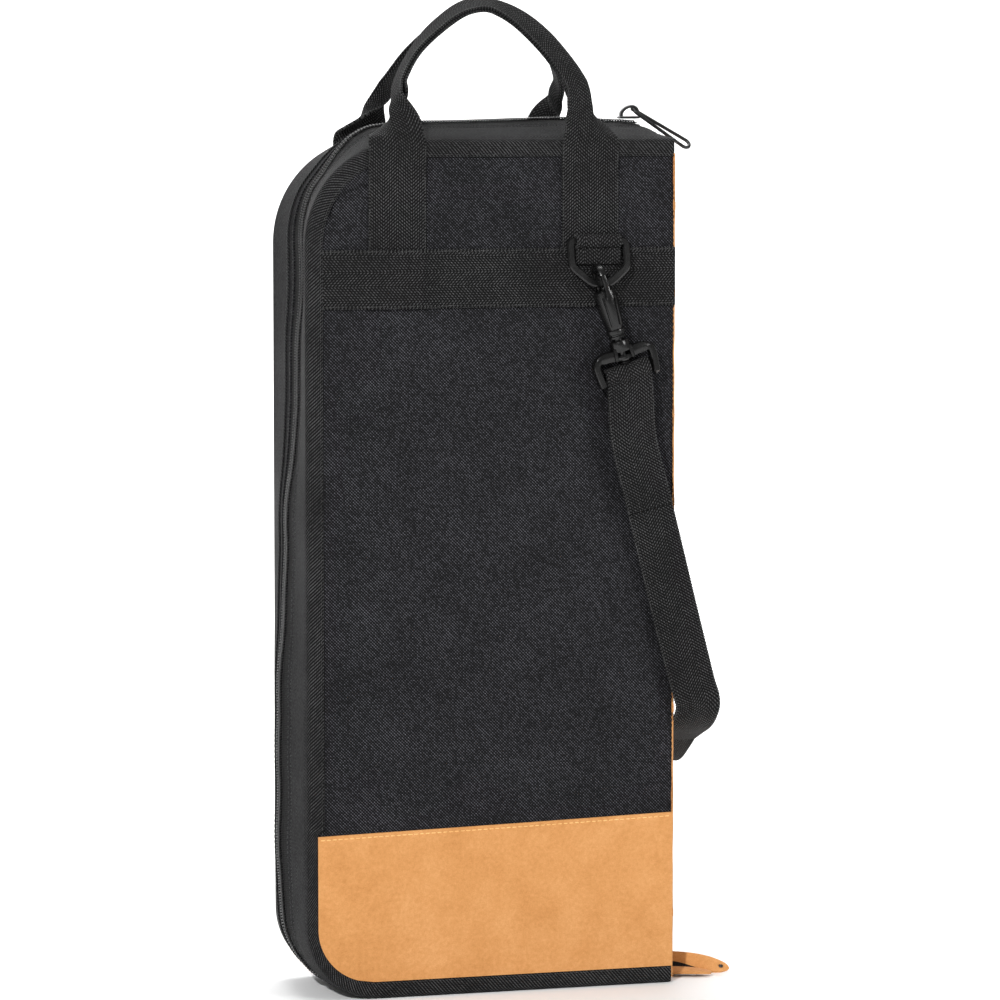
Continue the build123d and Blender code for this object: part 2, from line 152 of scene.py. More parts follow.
class Finish:
    """A material under construction."""

    def __init__(self, name, roughness, sheen=0.0, specular=0.5, metallic=0.0):
        self.material = bpy.data.materials.new(name)
        self.material.use_nodes = True
        self.tree = self.material.node_tree
        self.shader = self.tree.nodes["Principled BSDF"]
        settings = {"Roughness": roughness, "Specular IOR Level": specular, "Metallic": metallic,
                    "Sheen Weight": sheen, "Sheen Roughness": 0.45}
        for setting, value in settings.items():
            self.shader.inputs[setting].default_value = value

    def cloth(self):
        """Distances along and across the cloth, in millimetres."""
        attribute = self.tree.nodes.new("ShaderNodeAttribute")
        attribute.attribute_name = WEAVE
        parts = self.tree.nodes.new("ShaderNodeSeparateXYZ")
        self.tree.links.new(attribute.outputs["Vector"], parts.inputs[0])
        along = Field(self.tree, parts.outputs[0]) / MM
        across = Field(self.tree, parts.outputs[1]) / MM
        return along, across

    def grid_noise(self, *places):
        """Random number for each whole-number place."""
        join = self.tree.nodes.new("ShaderNodeCombineXYZ")
        for slot, place in enumerate(places):
            self.tree.links.new(place.math("FLOOR").socket, join.inputs[slot])
        cell = self.tree.nodes.new("ShaderNodeTexWhiteNoise")
        self.tree.links.new(join.outputs[0], cell.inputs["Vector"])
        return Field(self.tree, cell.outputs["Value"])

    def noise(self, size, detail=3.0, rough=0.55):
        """Cloudy noise whose features are about this many millimetres across."""
        place = self.tree.nodes.new("ShaderNodeTexCoord")
        node = self.tree.nodes.new("ShaderNodeTexNoise")
        node.inputs["Scale"].default_value = 1 / (size * MM)
        node.inputs["Detail"].default_value = detail
        node.inputs["Roughness"].default_value = rough
        self.tree.links.new(place.outputs["Object"], node.inputs["Vector"])
        return Field(self.tree, node.outputs["Fac"])

    def colour(self, share, stops):
        """Colour from a ramp of (place, colour) stops."""
        ramp = self.tree.nodes.new("ShaderNodeValToRGB")
        while len(ramp.color_ramp.elements) < len(stops):
            ramp.color_ramp.elements.new(0.5)
        for element, (place, shade) in zip(ramp.color_ramp.elements, stops):
            element.position = place
            element.color = (*shade, 1.0)
        self.tree.links.new(share.socket, ramp.inputs[0])
        self.tree.links.new(ramp.outputs[0], self.shader.inputs["Base Color"])

    def roughness(self, share):
        self.tree.links.new(share.socket, self.shader.inputs["Roughness"])

    def bump(self, height, depth):
        """Relief of this depth in millimetres."""
        node = self.tree.nodes.new("ShaderNodeBump")
        node.inputs["Strength"].default_value = 1.0
        node.inputs["Distance"].default_value = depth * MM
        self.tree.links.new(height.socket, node.inputs["Height"])
        self.tree.links.new(node.outputs[0], self.shader.inputs["Normal"])


def grey(level, blue=0.0):
    return (level, level, level * (1 + blue))


def plain_weave(finish, pitch, cross=0.5):
    """Thread crossings in slanted rows: height and a random number for each crossing."""
    along, across = finish.cloth()
    slant = (along + across) / pitch
    other = (along - across) / pitch
    height = slant.wave() * (other.wave() * cross + (1.0 - cross))
    return height, finish.grid_noise(slant, other)


def twill_weave(finish, pitch, slope, zone, thread, cut=0.7):
    """Diagonal ribs whose direction flips from zone to zone, cut into threads."""
    along, across = finish.cloth()
    drift = across.math("PINGPONG", zone) * slope
    rib = ((along + drift) / pitch).wave()
    strand = (across / thread).wave() * cut + (1.0 - cut)
    fleck = finish.grid_noise((along + drift) / pitch, across / thread)
    return rib * strand, fleck


def woven(name, weave, dark, light, depth, roughness=0.75, tint=0.0, uneven=0.5):
    """Cloth whose weave shows as relief and as painted highlight and shade, with slow uneven patches."""
    finish = Finish(name, roughness, sheen=0.02, specular=0.12)
    height, fleck = weave(finish)
    patch = finish.noise(38.0, 2.0)
    # Painted highlight and shade: the colour follows the weave's height, lighter on the thread crowns and
    # near black between them; fleck and patch are the cloth's own uneven tone.
    share = height * (fleck * uneven + 1.0 - uneven * 0.6) * (patch * 0.6 + 0.7)
    finish.colour(share.clamp(), [(0.0, grey(dark, tint)), (0.5, grey(light * 0.09, tint)),
                                  (1.0, grey(light, tint))])
    finish.bump(height * (fleck * 0.3 + 0.7), depth)
    return finish.material


def suede(name, base, deep, pale, nap=0.35):
    """Napped leather: mottled patches and a fine fibre relief."""
    finish = Finish(name, 0.95, sheen=0.12, specular=0.1)
    patch = finish.noise(26.0, 3.0, 0.6)
    mottle = finish.noise(2.2, 4.0, 0.7)
    fibre = finish.noise(0.7, 3.0, 0.75)
    share = patch * 0.35 + mottle * 0.35 + fibre * 0.3
    finish.colour(share, [(0.36, deep), (0.5, base), (0.64, pale)])
    finish.bump(mottle * 0.35 + fibre * 0.65, nap)
    return finish.material


def moulded(name, level, roughness):
    """Satin plastic with a faint moulded grain and uneven gloss."""
    finish = Finish(name, roughness, specular=0.45)
    patch = finish.noise(9.0, 3.0)
    grain = finish.noise(0.5, 2.0)
    finish.colour(patch, [(0.3, grey(level * 0.8)), (0.7, grey(level * 1.25))])
    finish.roughness(patch * 0.2 + (roughness - 0.1))
    finish.bump(grain, 0.02)
    return finish.material


def enamel(name, level, roughness, metallic):
    """Coated metal, a little worn where the coat is thin."""
    finish = Finish(name, roughness, specular=0.6, metallic=metallic)
    wear = finish.noise(3.0, 5.0, 0.7)
    finish.colour(wear, [(0.35, grey(level * 0.8)), (0.62, grey(level)), (0.75, grey(level * 1.8))])
    finish.roughness(wear * 0.25 + (roughness - 0.12))
    finish.bump(finish.noise(0.8, 2.0), 0.01)
    return finish.material


def make_materials():
    """Every finish by its short name."""
    tan = (0.58, 0.275, 0.096)
    return {
        # In each woven finish the first number is the cloth's own dark and the second is painted highlight
        # on the thread crowns.
        "canvas": woven("face_canvas", lambda f: plain_weave(f, 1.75), 0.002, 0.085, 0.14, tint=0.14),
        # The side wall's finish is the face's canvas made darker and less blue: painted shade for a side
        # that the lamps light more strongly.
        "wall": woven("wall_canvas_painted_shade", lambda f: plain_weave(f, 1.75), 0.002, 0.06, 0.14, tint=0.08),
        "binding": woven("binding_twill", lambda f: twill_weave(f, 1.9, 1.5, 10.0, 0.7, cut=0.25),
                         0.0015, 0.07, 0.25, tint=0.03, uneven=0.3),
        "webbing": woven("webbing_weave", lambda f: twill_weave(f, 1.9, 0.95, 8.0, 1.3, cut=0.55),
                         0.001, 0.085, 0.35, tint=0.02, uneven=0.3),
        "tape": woven("zipper_tape_weave", lambda f: twill_weave(f, 1.2, 1.4, 20.0, 0.75),
                      0.002, 0.06, 0.15, tint=0.03),
        "lining": woven("lining_nylon", lambda f: plain_weave(f, 1.0, 0.8), 0.010, 0.05, 0.08,
                        roughness=0.5),
        "suede": suede("tan_suede", tan, (0.485, 0.215, 0.068), (0.665, 0.34, 0.137)),
        "tan_thread": suede("tan_thread", (0.85, 0.52, 0.2), (0.7, 0.4, 0.14), (0.95, 0.65, 0.32), 0.1),
        "thread": woven("black_thread", lambda f: twill_weave(f, 0.5, 1.0, 2.0, 0.4),
                        0.012, 0.3, 0.1, roughness=0.5),
        "coil": moulded("coil_nylon", 0.008, 0.4),
        "plastic": moulded("satin_acetal", 0.004, 0.24),
        "metal": enamel("black_enamel", 0.012, 0.3, 0.2),
    }


MATERIALS = make_materials()


# ---- Mesh building -------------------------------------------------------------------------


def unit(vectors):
    return vectors / np.maximum(np.linalg.norm(vectors, axis=-1, keepdims=True), 1e-9)


def add_piece(name, points, faces, material, cloth=None, half=None, crease=48):
    """Mesh object from points in millimetres. A front piece is a back piece mirrored."""
    points = np.array(points, float).reshape(-1, 3) * MM
    faces = [list(face) for face in faces]
    if half == "front":
        points[:, 1] *= -1
        faces = [face[::-1] for face in faces]
    if half:
        name = f"{half}_{name}"
    mesh = bpy.data.meshes.new(name)
    mesh.from_pydata(points.tolist(), [], faces)
    if cloth is not None:
        cloth = np.array(cloth, float).reshape(-1, 2) * MM
        place = np.column_stack([cloth, np.zeros(len(cloth))]).astype(np.float32)
        attribute = mesh.attributes.new(WEAVE, "FLOAT_VECTOR", "POINT")
        attribute.data.foreach_set("vector", place.ravel())
    mesh.materials.append(MATERIALS[material])
    mesh.polygons.foreach_set("use_smooth", [True] * len(mesh.polygons))
    mesh.set_sharp_from_angle(angle=radians(crease))
    piece = bpy.data.objects.new(name, mesh)
    bpy.context.scene.collection.objects.link(piece)
    return piece


def fit(piece, half, slot, *nodes, body="half"):
    """Body of a piece of one half, and the CAD nodes that it stands for, which are hidden. The finish slot
    is not used.
    """
    if nodes:
        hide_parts(*[f"{half}_{node}" for node in nodes])
    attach(piece, f"{half}_{body}")
    return piece


def grid_index(rows, columns, around=False):
    index = np.arange(rows * columns).reshape(rows, columns)
    return np.hstack([index, index[:, :1]]) if around else index


def grid_faces(index):
    corners = [index[:-1, :-1], index[1:, :-1], index[1:, 1:], index[:-1, 1:]]
    return np.stack(corners, -1).reshape(-1, 4)


def cloth_solid(name, grid, cloth, hint, thickness, material, half=None, lift=0.0):
    """Closed thin solid of cloth. grid is its outer skin, and hint points out of that skin."""
    grid = np.array(grid, float)
    cloth = np.array(cloth, float)
    normal = unit(np.cross(np.gradient(grid, axis=0), np.gradient(grid, axis=1)))
    if (normal * np.array(hint, float)).sum() < 0:
        grid = grid[:, ::-1]
        cloth = cloth[:, ::-1]
        normal = -normal[:, ::-1]
    outer = grid + normal * lift
    inner = outer - normal * thickness
    index = grid_index(*grid.shape[:2])
    count = index.size
    top = grid_faces(index)
    loop = np.concatenate([index[:-1, 0], index[-1, :-1], index[:0:-1, -1], index[0, :0:-1]])
    after = np.roll(loop, -1)
    rim = np.stack([after, loop, loop + count, after + count], -1)
    faces = np.vstack([top, top[:, ::-1] + count, rim])
    points = np.concatenate([outer.reshape(-1, 3), inner.reshape(-1, 3)])
    places = np.concatenate([cloth.reshape(-1, 2)] * 2)
    return add_piece(name, points, faces, material, places, half)


def webbing_solid(name, grid, cloth, half, hint=(0, 0, 0)):
    """Webbing whose middle layer is the grid."""
    return cloth_solid(name, grid, cloth, hint, WEB_THICK, "webbing", half, lift=WEB_THICK / 2)


def sweep(path, section, up, closed=False):
    """Rings of a section carried along a path; section holds offsets sideways and along up."""
    if closed:
        tangent = unit(np.roll(path, -1, 0) - np.roll(path, 1, 0))
    else:
        tangent = unit(np.gradient(path, axis=0))
    side = unit(np.cross(tangent, up))
    upward = np.cross(side, tangent)
    section = np.asarray(section, float)
    if section.ndim == 2:
        section = np.broadcast_to(section, (len(path), *section.shape))
    return path[:, None] + side[:, None] * section[..., :1] + upward[:, None] * section[..., 1:]


def skin(name, parts, material, half=None, closed=False, crease=32, cloth=None):
    """One piece from sets of rings, each joined end to end if closed, or else capped."""
    points, faces, start = [], [], 0
    for rings in parts:
        count, around = rings.shape[:2]
        index = grid_index(count, around, around=True)
        if closed:
            index = np.vstack([index, index[:1]])
        faces.extend((grid_faces(index) + start).tolist())
        if not closed:
            last = start + (count - 1) * around
            faces.append(list(range(start, start + around)))
            faces.append(list(range(last, last + around))[::-1])
        points.append(rings.reshape(-1, 3))
        start += count * around
    return add_piece(name, np.concatenate(points), faces, material, cloth, half, crease)


def circle(radius, sides):
    angle = np.arange(sides) * 2 * pi / sides
    return np.stack([radius * np.cos(angle), radius * np.sin(angle)], -1)


def smooth_path(points, spacing):
    """Even points on a smooth line through the given ones."""
    points = np.array(points, float)
    padded = np.vstack([2 * points[0] - points[1], points, 2 * points[-1] - points[-2]])
    steps = np.linspace(0, 1, 24, endpoint=False)[:, None]
    line = []
    for a, b, c, d in zip(padded, padded[1:], padded[2:], padded[3:]):
        curve = 2 * b + (c - a) * steps + (2 * a - 5 * b + 4 * c - d) * steps**2
        line.append(0.5 * (curve + (3 * b - a - 3 * c + d) * steps**3))
    return resample(np.vstack([*line, points[-1:]]), spacing)


def lengths(path):
    """Distance along a path at each of its points."""
    return np.concatenate([[0], np.cumsum(np.linalg.norm(np.diff(path, axis=0), axis=1))])


def sampled(values, run, places):
    """Values along a path, read at other distances along it."""
    return np.stack([np.interp(places, run, values[:, axis]) for axis in range(3)], -1)


def resample(path, spacing):
    run = lengths(path)
    return sampled(path, run, np.linspace(0, run[-1], max(2, round(run[-1] / spacing) + 1)))


def eased(places, stations):
    """Smooth steps through (place, value) stations."""
    at, value = np.array(stations, float).T
    slot = np.clip(np.searchsorted(at, places) - 1, 0, len(at) - 2)
    share = np.clip((places - at[slot]) / (at[slot + 1] - at[slot]), 0, 1)
    share = share * share * (3 - 2 * share)
    return value[slot] + (value[slot + 1] - value[slot]) * share


BEAD_SIDES = 6
BEAD_RINGS = 4


def bead():
    """Unit bead: a rounded capsule along its first axis, as points and faces."""
    rows = []
    for ring in range(BEAD_RINGS + 1):
        angle = pi * (0.08 + 0.84 * ring / BEAD_RINGS)
        around = circle(sin(angle) ** 0.6, BEAD_SIDES)
        rows.append(np.column_stack([np.full(BEAD_SIDES, -cos(angle)), around]))
    index = grid_index(len(rows), BEAD_SIDES, around=True)
    faces = [face[::-1] for face in grid_faces(index).tolist()]
    last = (len(rows) - 1) * BEAD_SIDES
    faces.append(list(range(BEAD_SIDES))[::-1])
    faces.append(list(range(last, last + BEAD_SIDES)))
    return np.concatenate(rows), faces


def beads(name, centres, along, up, size, material, half=None):
    """Many small beads in one piece; size is half the length, width and height of each."""
    shape, faces = bead()
    along = unit(np.broadcast_to(along, centres.shape))
    side = unit(np.cross(up, along))
    upward = np.cross(along, side)
    axes = np.stack([along * size[0], side * size[1], upward * size[2]], 1)
    points = centres[:, None] + shape[None] @ axes
    starts = range(0, len(shape) * len(centres), len(shape))
    every = [[corner + start for corner in face] for start in starts for face in faces]
    cloth = np.tile(shape[:, :2] * size[0], (len(centres), 1))
    return add_piece(name, points, every, material, cloth, half, crease=80)


def stitches(name, path, up, pitch, size, material, half):
    """Row of stitches that lies along a path."""
    run = lengths(path)
    places = np.arange(pitch / 2, run[-1], pitch)
    along = sampled(unit(np.gradient(path, axis=0)), run, places)
    rise = sampled(np.broadcast_to(up, path.shape), run, places)
    return beads(name, sampled(path, run, places), along, rise, size, material, half)


def selvedge(name, grid, edge, thickness, half, pitch=1.7, reach=0.9):
    """Loops of thread over one long edge of a webbing grid."""
    line = grid[:, edge]
    run = lengths(line)
    across = unit(grid[:, 1 if edge == 0 else -2] - line)
    places = np.arange(pitch / 2, run[-1], pitch)
    centres = sampled(line + across * (reach - 0.35), run, places)
    along = sampled(unit(np.gradient(line, axis=0)), run, places)
    inward = sampled(across, run, places)
    size = (reach, 0.45, thickness / 2 + 0.32)
    return beads(name, centres, inward, np.cross(along, inward), size, "thread", half)


def selvedges(name, grid, labels, thickness, half, **spacing):
    """Thread loops over both long edges, ready for a body."""
    pieces = []
    for edge, label in zip((0, -1), labels):
        pieces.append(selvedge(f"{name}_{label}_edge", grid, edge, thickness, half, **spacing))
    return pieces


# ---- The zipped edge of a half -------------------------------------------------------------

EDGE_RUNS = (
    RIGHT - LEFT - CORNER_BASE,
    pi / 2 * CORNER_BASE,
    TOP - CORNER_BASE - CORNER_TOP,
    pi / 2 * CORNER_TOP,
    RIGHT - LEFT - CORNER_TOP,
)
BASE_END, LEFT_START, LEFT_END, TOP_START, EDGE_END = np.cumsum(EDGE_RUNS)


def trace_edge():
    """Outline of the zipped edge from the spine's foot, round to the spine's top."""
    step = 0.1
    places = np.arange(0, EDGE_END + step, step)
    turned = np.clip((places - BASE_END) / EDGE_RUNS[1], 0, 1)
    turned += np.clip((places - LEFT_END) / EDGE_RUNS[3], 0, 1)
    angle = 1.5 * pi - turned * pi / 2
    x = RIGHT + np.cumsum(np.sin(angle)) * step
    z = -np.cumsum(np.cos(angle)) * step
    return places, x, z, np.cos(angle), np.sin(angle)


EDGE = trace_edge()


def beside_edge(places, out):
    """X and Z of the points this far outside the edge."""
    x, z, across, upward = [np.interp(places, EDGE[0], column) for column in EDGE[1:]]
    return x + across * out, z + upward * out, across, upward


# How far the zipper stands out of the edge: level on the base, puffed low on the side, pinched
# high on the side and crowned along the top, where it falls away at the spine.
BULGE = (
    (0, -1.0), (BASE_END - 10, -1.0), (BASE_END + 35, 3.0), (LEFT_START + 45, 8.0),
    (LEFT_START + 120, 7.0), (LEFT_START + 215, 2.5), (LEFT_START + 290, -3.5),
    (LEFT_END - 12, -7.0), (LEFT_END + 40, -3.0), (TOP_START - 8, CROWN - 1.5),
    (TOP_START + 20, CROWN), (EDGE_END - 48, CROWN + 1.8), (EDGE_END - 20, CROWN + 0.3),
    (EDGE_END - 12, CROWN - 0.3), (EDGE_END, 2.0),
)


def bulge_at(places, y):
    """Standing-out of the side wall at this distance from the zipper."""
    share = 1 - np.abs(y / FACE) ** 1.25
    wander = 0.35 * np.sin(places / 17.0) + 0.25 * np.sin(places / 7.3 + 1.0)
    return (eased(places, BULGE) + wander * (places < TOP_START - 20)) * share


def at_depth(x, depth, z):
    """Points that all lie this far from the zipper's plane."""
    return np.stack([x, np.full_like(x, -depth), z], -1)


def side_grid(places, depths, lift):
    """Points on the side wall: one row per place, one column per depth."""
    rows = []
    for depth in depths:
        x, z, _, _ = beside_edge(places, bulge_at(places, depth) + lift)
        rows.append(at_depth(x, depth, np.maximum(z, 0.15)))
    return np.stack(rows, 1)


def side_stitches(name, depth, lift, pitch, size, slot, half, places=None):
    """Row of stitches round the side wall at this distance from the zipper."""
    places = EDGE_PLACES if places is None else places
    path = side_grid(places, (depth,), lift)[:, 0]
    row = stitches(name, path, outward(places, 1)[:, 0], pitch, size, "thread", half)
    return fit(row, half, slot)


def outward(places, columns):
    """Outward direction of the side wall, for each point of a grid."""
    across, upward = beside_edge(places, 0)[2:]
    direction = np.stack([across, np.zeros_like(across), upward], -1)
    return np.repeat(direction[:, None], columns, 1)


def cloth_places(places, offsets):
    along = np.repeat(np.asarray(places)[:, None], len(offsets), 1)
    across = np.repeat(np.asarray(offsets)[None], len(places), 0)
    return np.stack([along, across], -1)


EDGE_PLACES = np.linspace(0.5, EDGE_END - 0.3, 620)


def wall_left(z, inset):
    """X of the case's left edge at a height, this far inside it."""
    z = np.asarray(z, float)
    base = CORNER_BASE - inset
    top = CORNER_TOP - inset
    low = np.clip(inset + base - z, 0, base)
    high = np.clip(z - (TOP - inset - top), 0, top)
    curve = base - np.sqrt(np.maximum(base**2 - low**2, 0))
    curve += top - np.sqrt(np.maximum(top**2 - high**2, 0))
    return LEFT + inset + curve


def face_height(x, z):
    """How far the face fabric stands out from the middle of the bag: a soft, padded surface."""
    x, z = np.asarray(x, float), np.asarray(z, float)
    side = x - wall_left(z, 0) - BINDING_FACE
    near = np.minimum(np.minimum(side, TOP - BINDING_FACE - z), z - BINDING_FACE)
    near = np.maximum(near, 0)
    rise = 1.5 * (1 - np.exp(-near / 13.0)) - 0.9 * np.exp((x - RIGHT) / 2.5)
    slow = 0.55 * np.sin(x / 31.0 + z / 83.0) * np.sin(z / 57.0 + 0.7) * (1 - np.exp(-near / 30.0))
    fold = z - 443 - (x + 79) * 0.35
    pinch = 2.0 * np.exp(-(((fold - 4.5) / 3.0) ** 2) - ((x + 77) / 12.0) ** 2)
    pinch -= 2.6 * np.exp(-((fold / 2.0) ** 2) - ((x + 79) / 11.0) ** 2)
    pinch -= 1.6 * np.exp(-(((x + 90.5 + (z - 432) * 0.2) / 1.9) ** 2) - ((z - 432) / 9.0) ** 2)
    pinch += 0.9 * np.exp(-(((x - 20 - (z - 440) * 0.3) / 5.0) ** 2) - ((z - 440) / 20.0) ** 2)
    return BACKING + rise + slow + pinch


def face_grid(x_low, x_high, z_values, columns, lift=0.0):
    """Points on the face between two edges, which may be given for each height."""
    x_low = np.broadcast_to(x_low, z_values.shape)
    x_high = np.broadcast_to(x_high, z_values.shape)
    share = np.linspace(0, 1, columns)[None]
    x = x_low[:, None] * (1 - share) + x_high[:, None] * share
    z = np.repeat(z_values[:, None], columns, 1)
    return np.stack([x, -(face_height(x, z) + lift), z], -1)


OUT = (0, -1, 0)


# ---- Case ----------------------------------------------------------------------------------


def panel(half):
    """Outer fabric of the face, over its foam."""
    z_values = np.linspace(6.0, TOP - 6.0, 320)
    grid = face_grid(wall_left(z_values, 6.0), RIGHT - 0.3, z_values, 150)
    piece = cloth_solid("face_fabric", grid, grid[..., [0, 2]], OUT, 4.8, "canvas", half)
    fit(piece, half, "canvas", "panel", "foam")


def binding(half):
    """One tape: a strip on the face, a rounded crease and a wider strip on the side."""
    face_strip = ((BINDING_FACE, -0.35), (BINDING_FACE - 0.4, 0.45), (8.6, 0.5), (7.6, 0.75), (5.5, 0.95),
                  (3.4, 0.8), (CREASE, BINDING_LIFT))
    side_strip = ((35.0, 0.0), (32.0, 0.0), (28.0, 0.0), (24.0, 0.0), (21.0, 0.05), (19.4, 0.0),
                  (18.4, 0.1), (SIDE_END, -0.5))
    suede_end = LEFT_START + SUEDE_TOP - CORNER_BASE
    covered = np.interp(EDGE_PLACES, (BASE_END, LEFT_START, suede_end, suede_end + 1), (0, 1, 1, 0))
    columns = []
    for inset, lift in face_strip:
        x, z, _, _ = beside_edge(EDGE_PLACES, -inset + (inset - CREASE) * SUEDE_OVERLAP * covered)
        columns.append(at_depth(x, FACE + lift, z))
    for turn in np.radians((30, 60, 90)):
        x, z, _, _ = beside_edge(EDGE_PLACES, -CREASE * (1 - sin(turn)))
        columns.append(at_depth(x, FACE + BINDING_LIFT - CREASE * (1 - cos(turn)), z))
    for depth, lift in side_strip:
        columns.append(side_grid(EDGE_PLACES, (depth,), lift)[:, 0])
    grid = np.stack(columns, 1)
    cloth = cloth_places(EDGE_PLACES, lengths(grid[200]))
    hint = outward(EDGE_PLACES, len(columns))
    piece = cloth_solid("edge_binding", grid, cloth, hint, 1.0, "binding", half)
    fit(piece, half, "binding", "binding")
    x, z, _, _ = beside_edge(EDGE_PLACES, 1.5 - BINDING_FACE)
    path = at_depth(x, FACE + 0.52, z)
    row = stitches("binding_face_stitches", path, OUT, 3.0, (1.1, 0.22, 0.2), "thread", half)
    fit(row, half, "binding")
    side_stitches("binding_side_stitches", SIDE_END + 1.4, 0.05, 3.0, (1.1, 0.25, 0.22), "binding", half)


def gusset(half):
    """Side wall between the binding and the zipper's tape."""
    depths = np.array([30.0, 22.0, 18.5, 17.0, 15.0, 13.6, TAPE_START - 0.6])
    grid = side_grid(EDGE_PLACES, depths, -0.9)
    cloth = cloth_places(EDGE_PLACES, depths)
    # The side wall takes the darker copy of the face's canvas: painted shade.
    piece = cloth_solid("side_wall", grid, cloth, outward(EDGE_PLACES, len(depths)), 1.0, "wall", half)
    fit(piece, half, "canvas", "gusset")
    side_stitches("wall_stitches", TAPE_START + 0.4, -0.8, 2.8, (1.0, 0.25, 0.25), "canvas", half)


def zipper(half):
    """Tape, and a coil of wire that lies half a turn from the other half's coil."""
    places = EDGE_PLACES[:-3]
    depths = np.array([TAPE_START + 1.5, 11.0, 8.0, 5.0, COIL_START, 1.6, 0.25])
    grid = side_grid(places, depths, -1.7)
    cloth = cloth_places(places, depths)
    tape = cloth_solid("tape", grid, cloth, outward(places, len(depths)), 0.7, "tape", half)
    fit(tape, half, "zipper_tape", "zipper_tape")
    turns = int((EDGE_END - 12) / COIL_PITCH)
    angle = np.linspace(0, 2 * pi * turns, turns * 10)
    along = np.linspace(1.0, EDGE_END - 11.0, len(angle)) + (0.78 if half == "front" else 0.0)
    x, z, across, upward = beside_edge(along, bulge_at(along, 2.0) - 0.75 + 0.55 * np.sin(angle))
    path = np.stack([x, -2.0 - 1.75 * np.cos(angle), np.maximum(z, 0.5)], -1)
    rings = sweep(path, circle(0.36, 5), np.stack([across, np.zeros_like(angle), upward], -1))
    coil = skin("coil", [rings], "coil", half, crease=48)
    fit(coil, half, "coil", "zipper_coil")
    side_stitches("coil_stitches", COIL_START + 0.9, -1.6, COIL_PITCH, (0.55, 0.3, 0.3), "zipper_tape", half,
                  places)


def suede_surface(x, z):
    """Distance of the suede's outer skin from the zipper's plane."""
    return np.maximum(face_height(x, z), FACE) + SUEDE_THICK


def suede_patch(half):
    """Suede over the foot of the face, a little askew, with a row of stitches along its top."""
    foot = BINDING_FACE - 0.4
    z_values = np.concatenate([[SUEDE_TOP, SUEDE_TOP - 0.35], np.linspace(SUEDE_TOP - 1.2, foot, 60)])[::-1]
    grid = face_grid(wall_left(z_values, foot) - SUEDE_SHIFT, RIGHT - 0.1, z_values, 110)
    grid[..., 2] += SUEDE_TILT * grid[..., 0] * (grid[..., 2] - foot) / (SUEDE_TOP - foot)
    grid[..., 1] = -suede_surface(grid[..., 0], grid[..., 2])
    grid[-1, :, 1] += 0.45
    piece = cloth_solid("suede_patch", grid, grid[..., [0, 2]], OUT, 1.3, "suede", half)
    fit(piece, half, "suede", "suede_base")
    seam = SUEDE_TOP - 2.1
    x = np.linspace(float(wall_left(seam, 7.0)), RIGHT - 1, 120)
    z = seam + SUEDE_TILT * x
    path = np.stack([x, -suede_surface(x, z), z], -1)
    row = stitches("suede_stitches", path, OUT, 3.3, (1.25, 0.3, 0.3), "tan_thread", half)
    fit(row, half, "suede")


# ---- Webbing on the faces ------------------------------------------------------------------


def over_legs(x):
    """Lift of the cross band where the handle legs pass beneath it."""
    lift = np.zeros_like(x)
    for leg in (LEG_LEFT, LEG_RIGHT):
        reach = np.abs(x - leg) - HANDLE_WEB / 2
        lift = np.maximum(lift, 1 / (1 + np.exp(reach * 2.2)))
    return lift * (WEB_THICK - 0.2)


def cross_band(half):
    """Webbing across the face, over the handle's legs."""
    z_values = np.linspace(BAND_LOW, BAND_HIGH, 20)
    grid = face_grid(wall_left(z_values, BINDING_FACE - 1.0), RIGHT + 0.3, z_values, 190, WEB_THICK)
    grid[..., 1] -= over_legs(grid[..., 0])
    piece = cloth_solid("band", grid, grid[..., [0, 2]], OUT, WEB_THICK, "webbing", half)
    fit(piece, half, "webbing", "cross_band")
    rows = grid.transpose(1, 0, 2)
    for loops in selvedges("band", rows, ("lower", "upper"), 1.0, half, pitch=2.1, reach=1.15):
        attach(loops, f"{half}_half")


# Turn of the folded webbing about its own line, by distance across the bag
NEAR_TURNS = ((-60, 86), (-46, 74), (-22, 54), (0, 40), (40, 14), (60, 5))
FAR_TURNS = ((-60, 30), (-30, 38), (0, 48), (30, 62), (46, 78), (60, 90))

FAR_SWAY = 8.0

GRIP_POINTS = (
    (-53.5, 12), (-52.5, 21), (-48, 34), (-39.5, 48), (-28.5, 60.5), (-16, 71), (-6, 76.5), (3, 78.3),
    (12, 76.5), (24, 69.5), (36, 57), (46, 42), (52.5, 28), (55.2, 18), (56, 12),
)


def leg_points(x, rising):
    """Points up one leg of a handle, from beneath the cross band to the pivot."""
    heights = (BAND_LOW + 4, BAND_HIGH - 4, BAND_HIGH + 6, 435, 450, 458, 463, 468)
    lifts = (0.1, 0.1, 0.05, 0.3, 0.6, 0.9, 2.0, 2.3)
    points = [(x, -(float(face_height(x, z)) + lift + WEB_THICK / 2), z) for z, lift in zip(heights, lifts)]
    points[-1] = (x, PIVOT_Y - 0.8, heights[-1])
    points.append((x, PIVOT_Y - 0.6, PIVOT_Z))
    return points if rising else points[::-1]


def handle_line(sway):
    """Middle line of a handle's webbing; its arch leans across the bag by the sway."""
    arch = []
    for x, rise in GRIP_POINTS:
        x += sway * min(1, max(0, rise - 6) / 28)
        arch.append((x, PIVOT_Y + rise * sin(LEAN), PIVOT_Z + rise * cos(LEAN)))
    return smooth_path([*leg_points(LEG_LEFT, True), *arch, *leg_points(LEG_RIGHT, False)], 1.6)


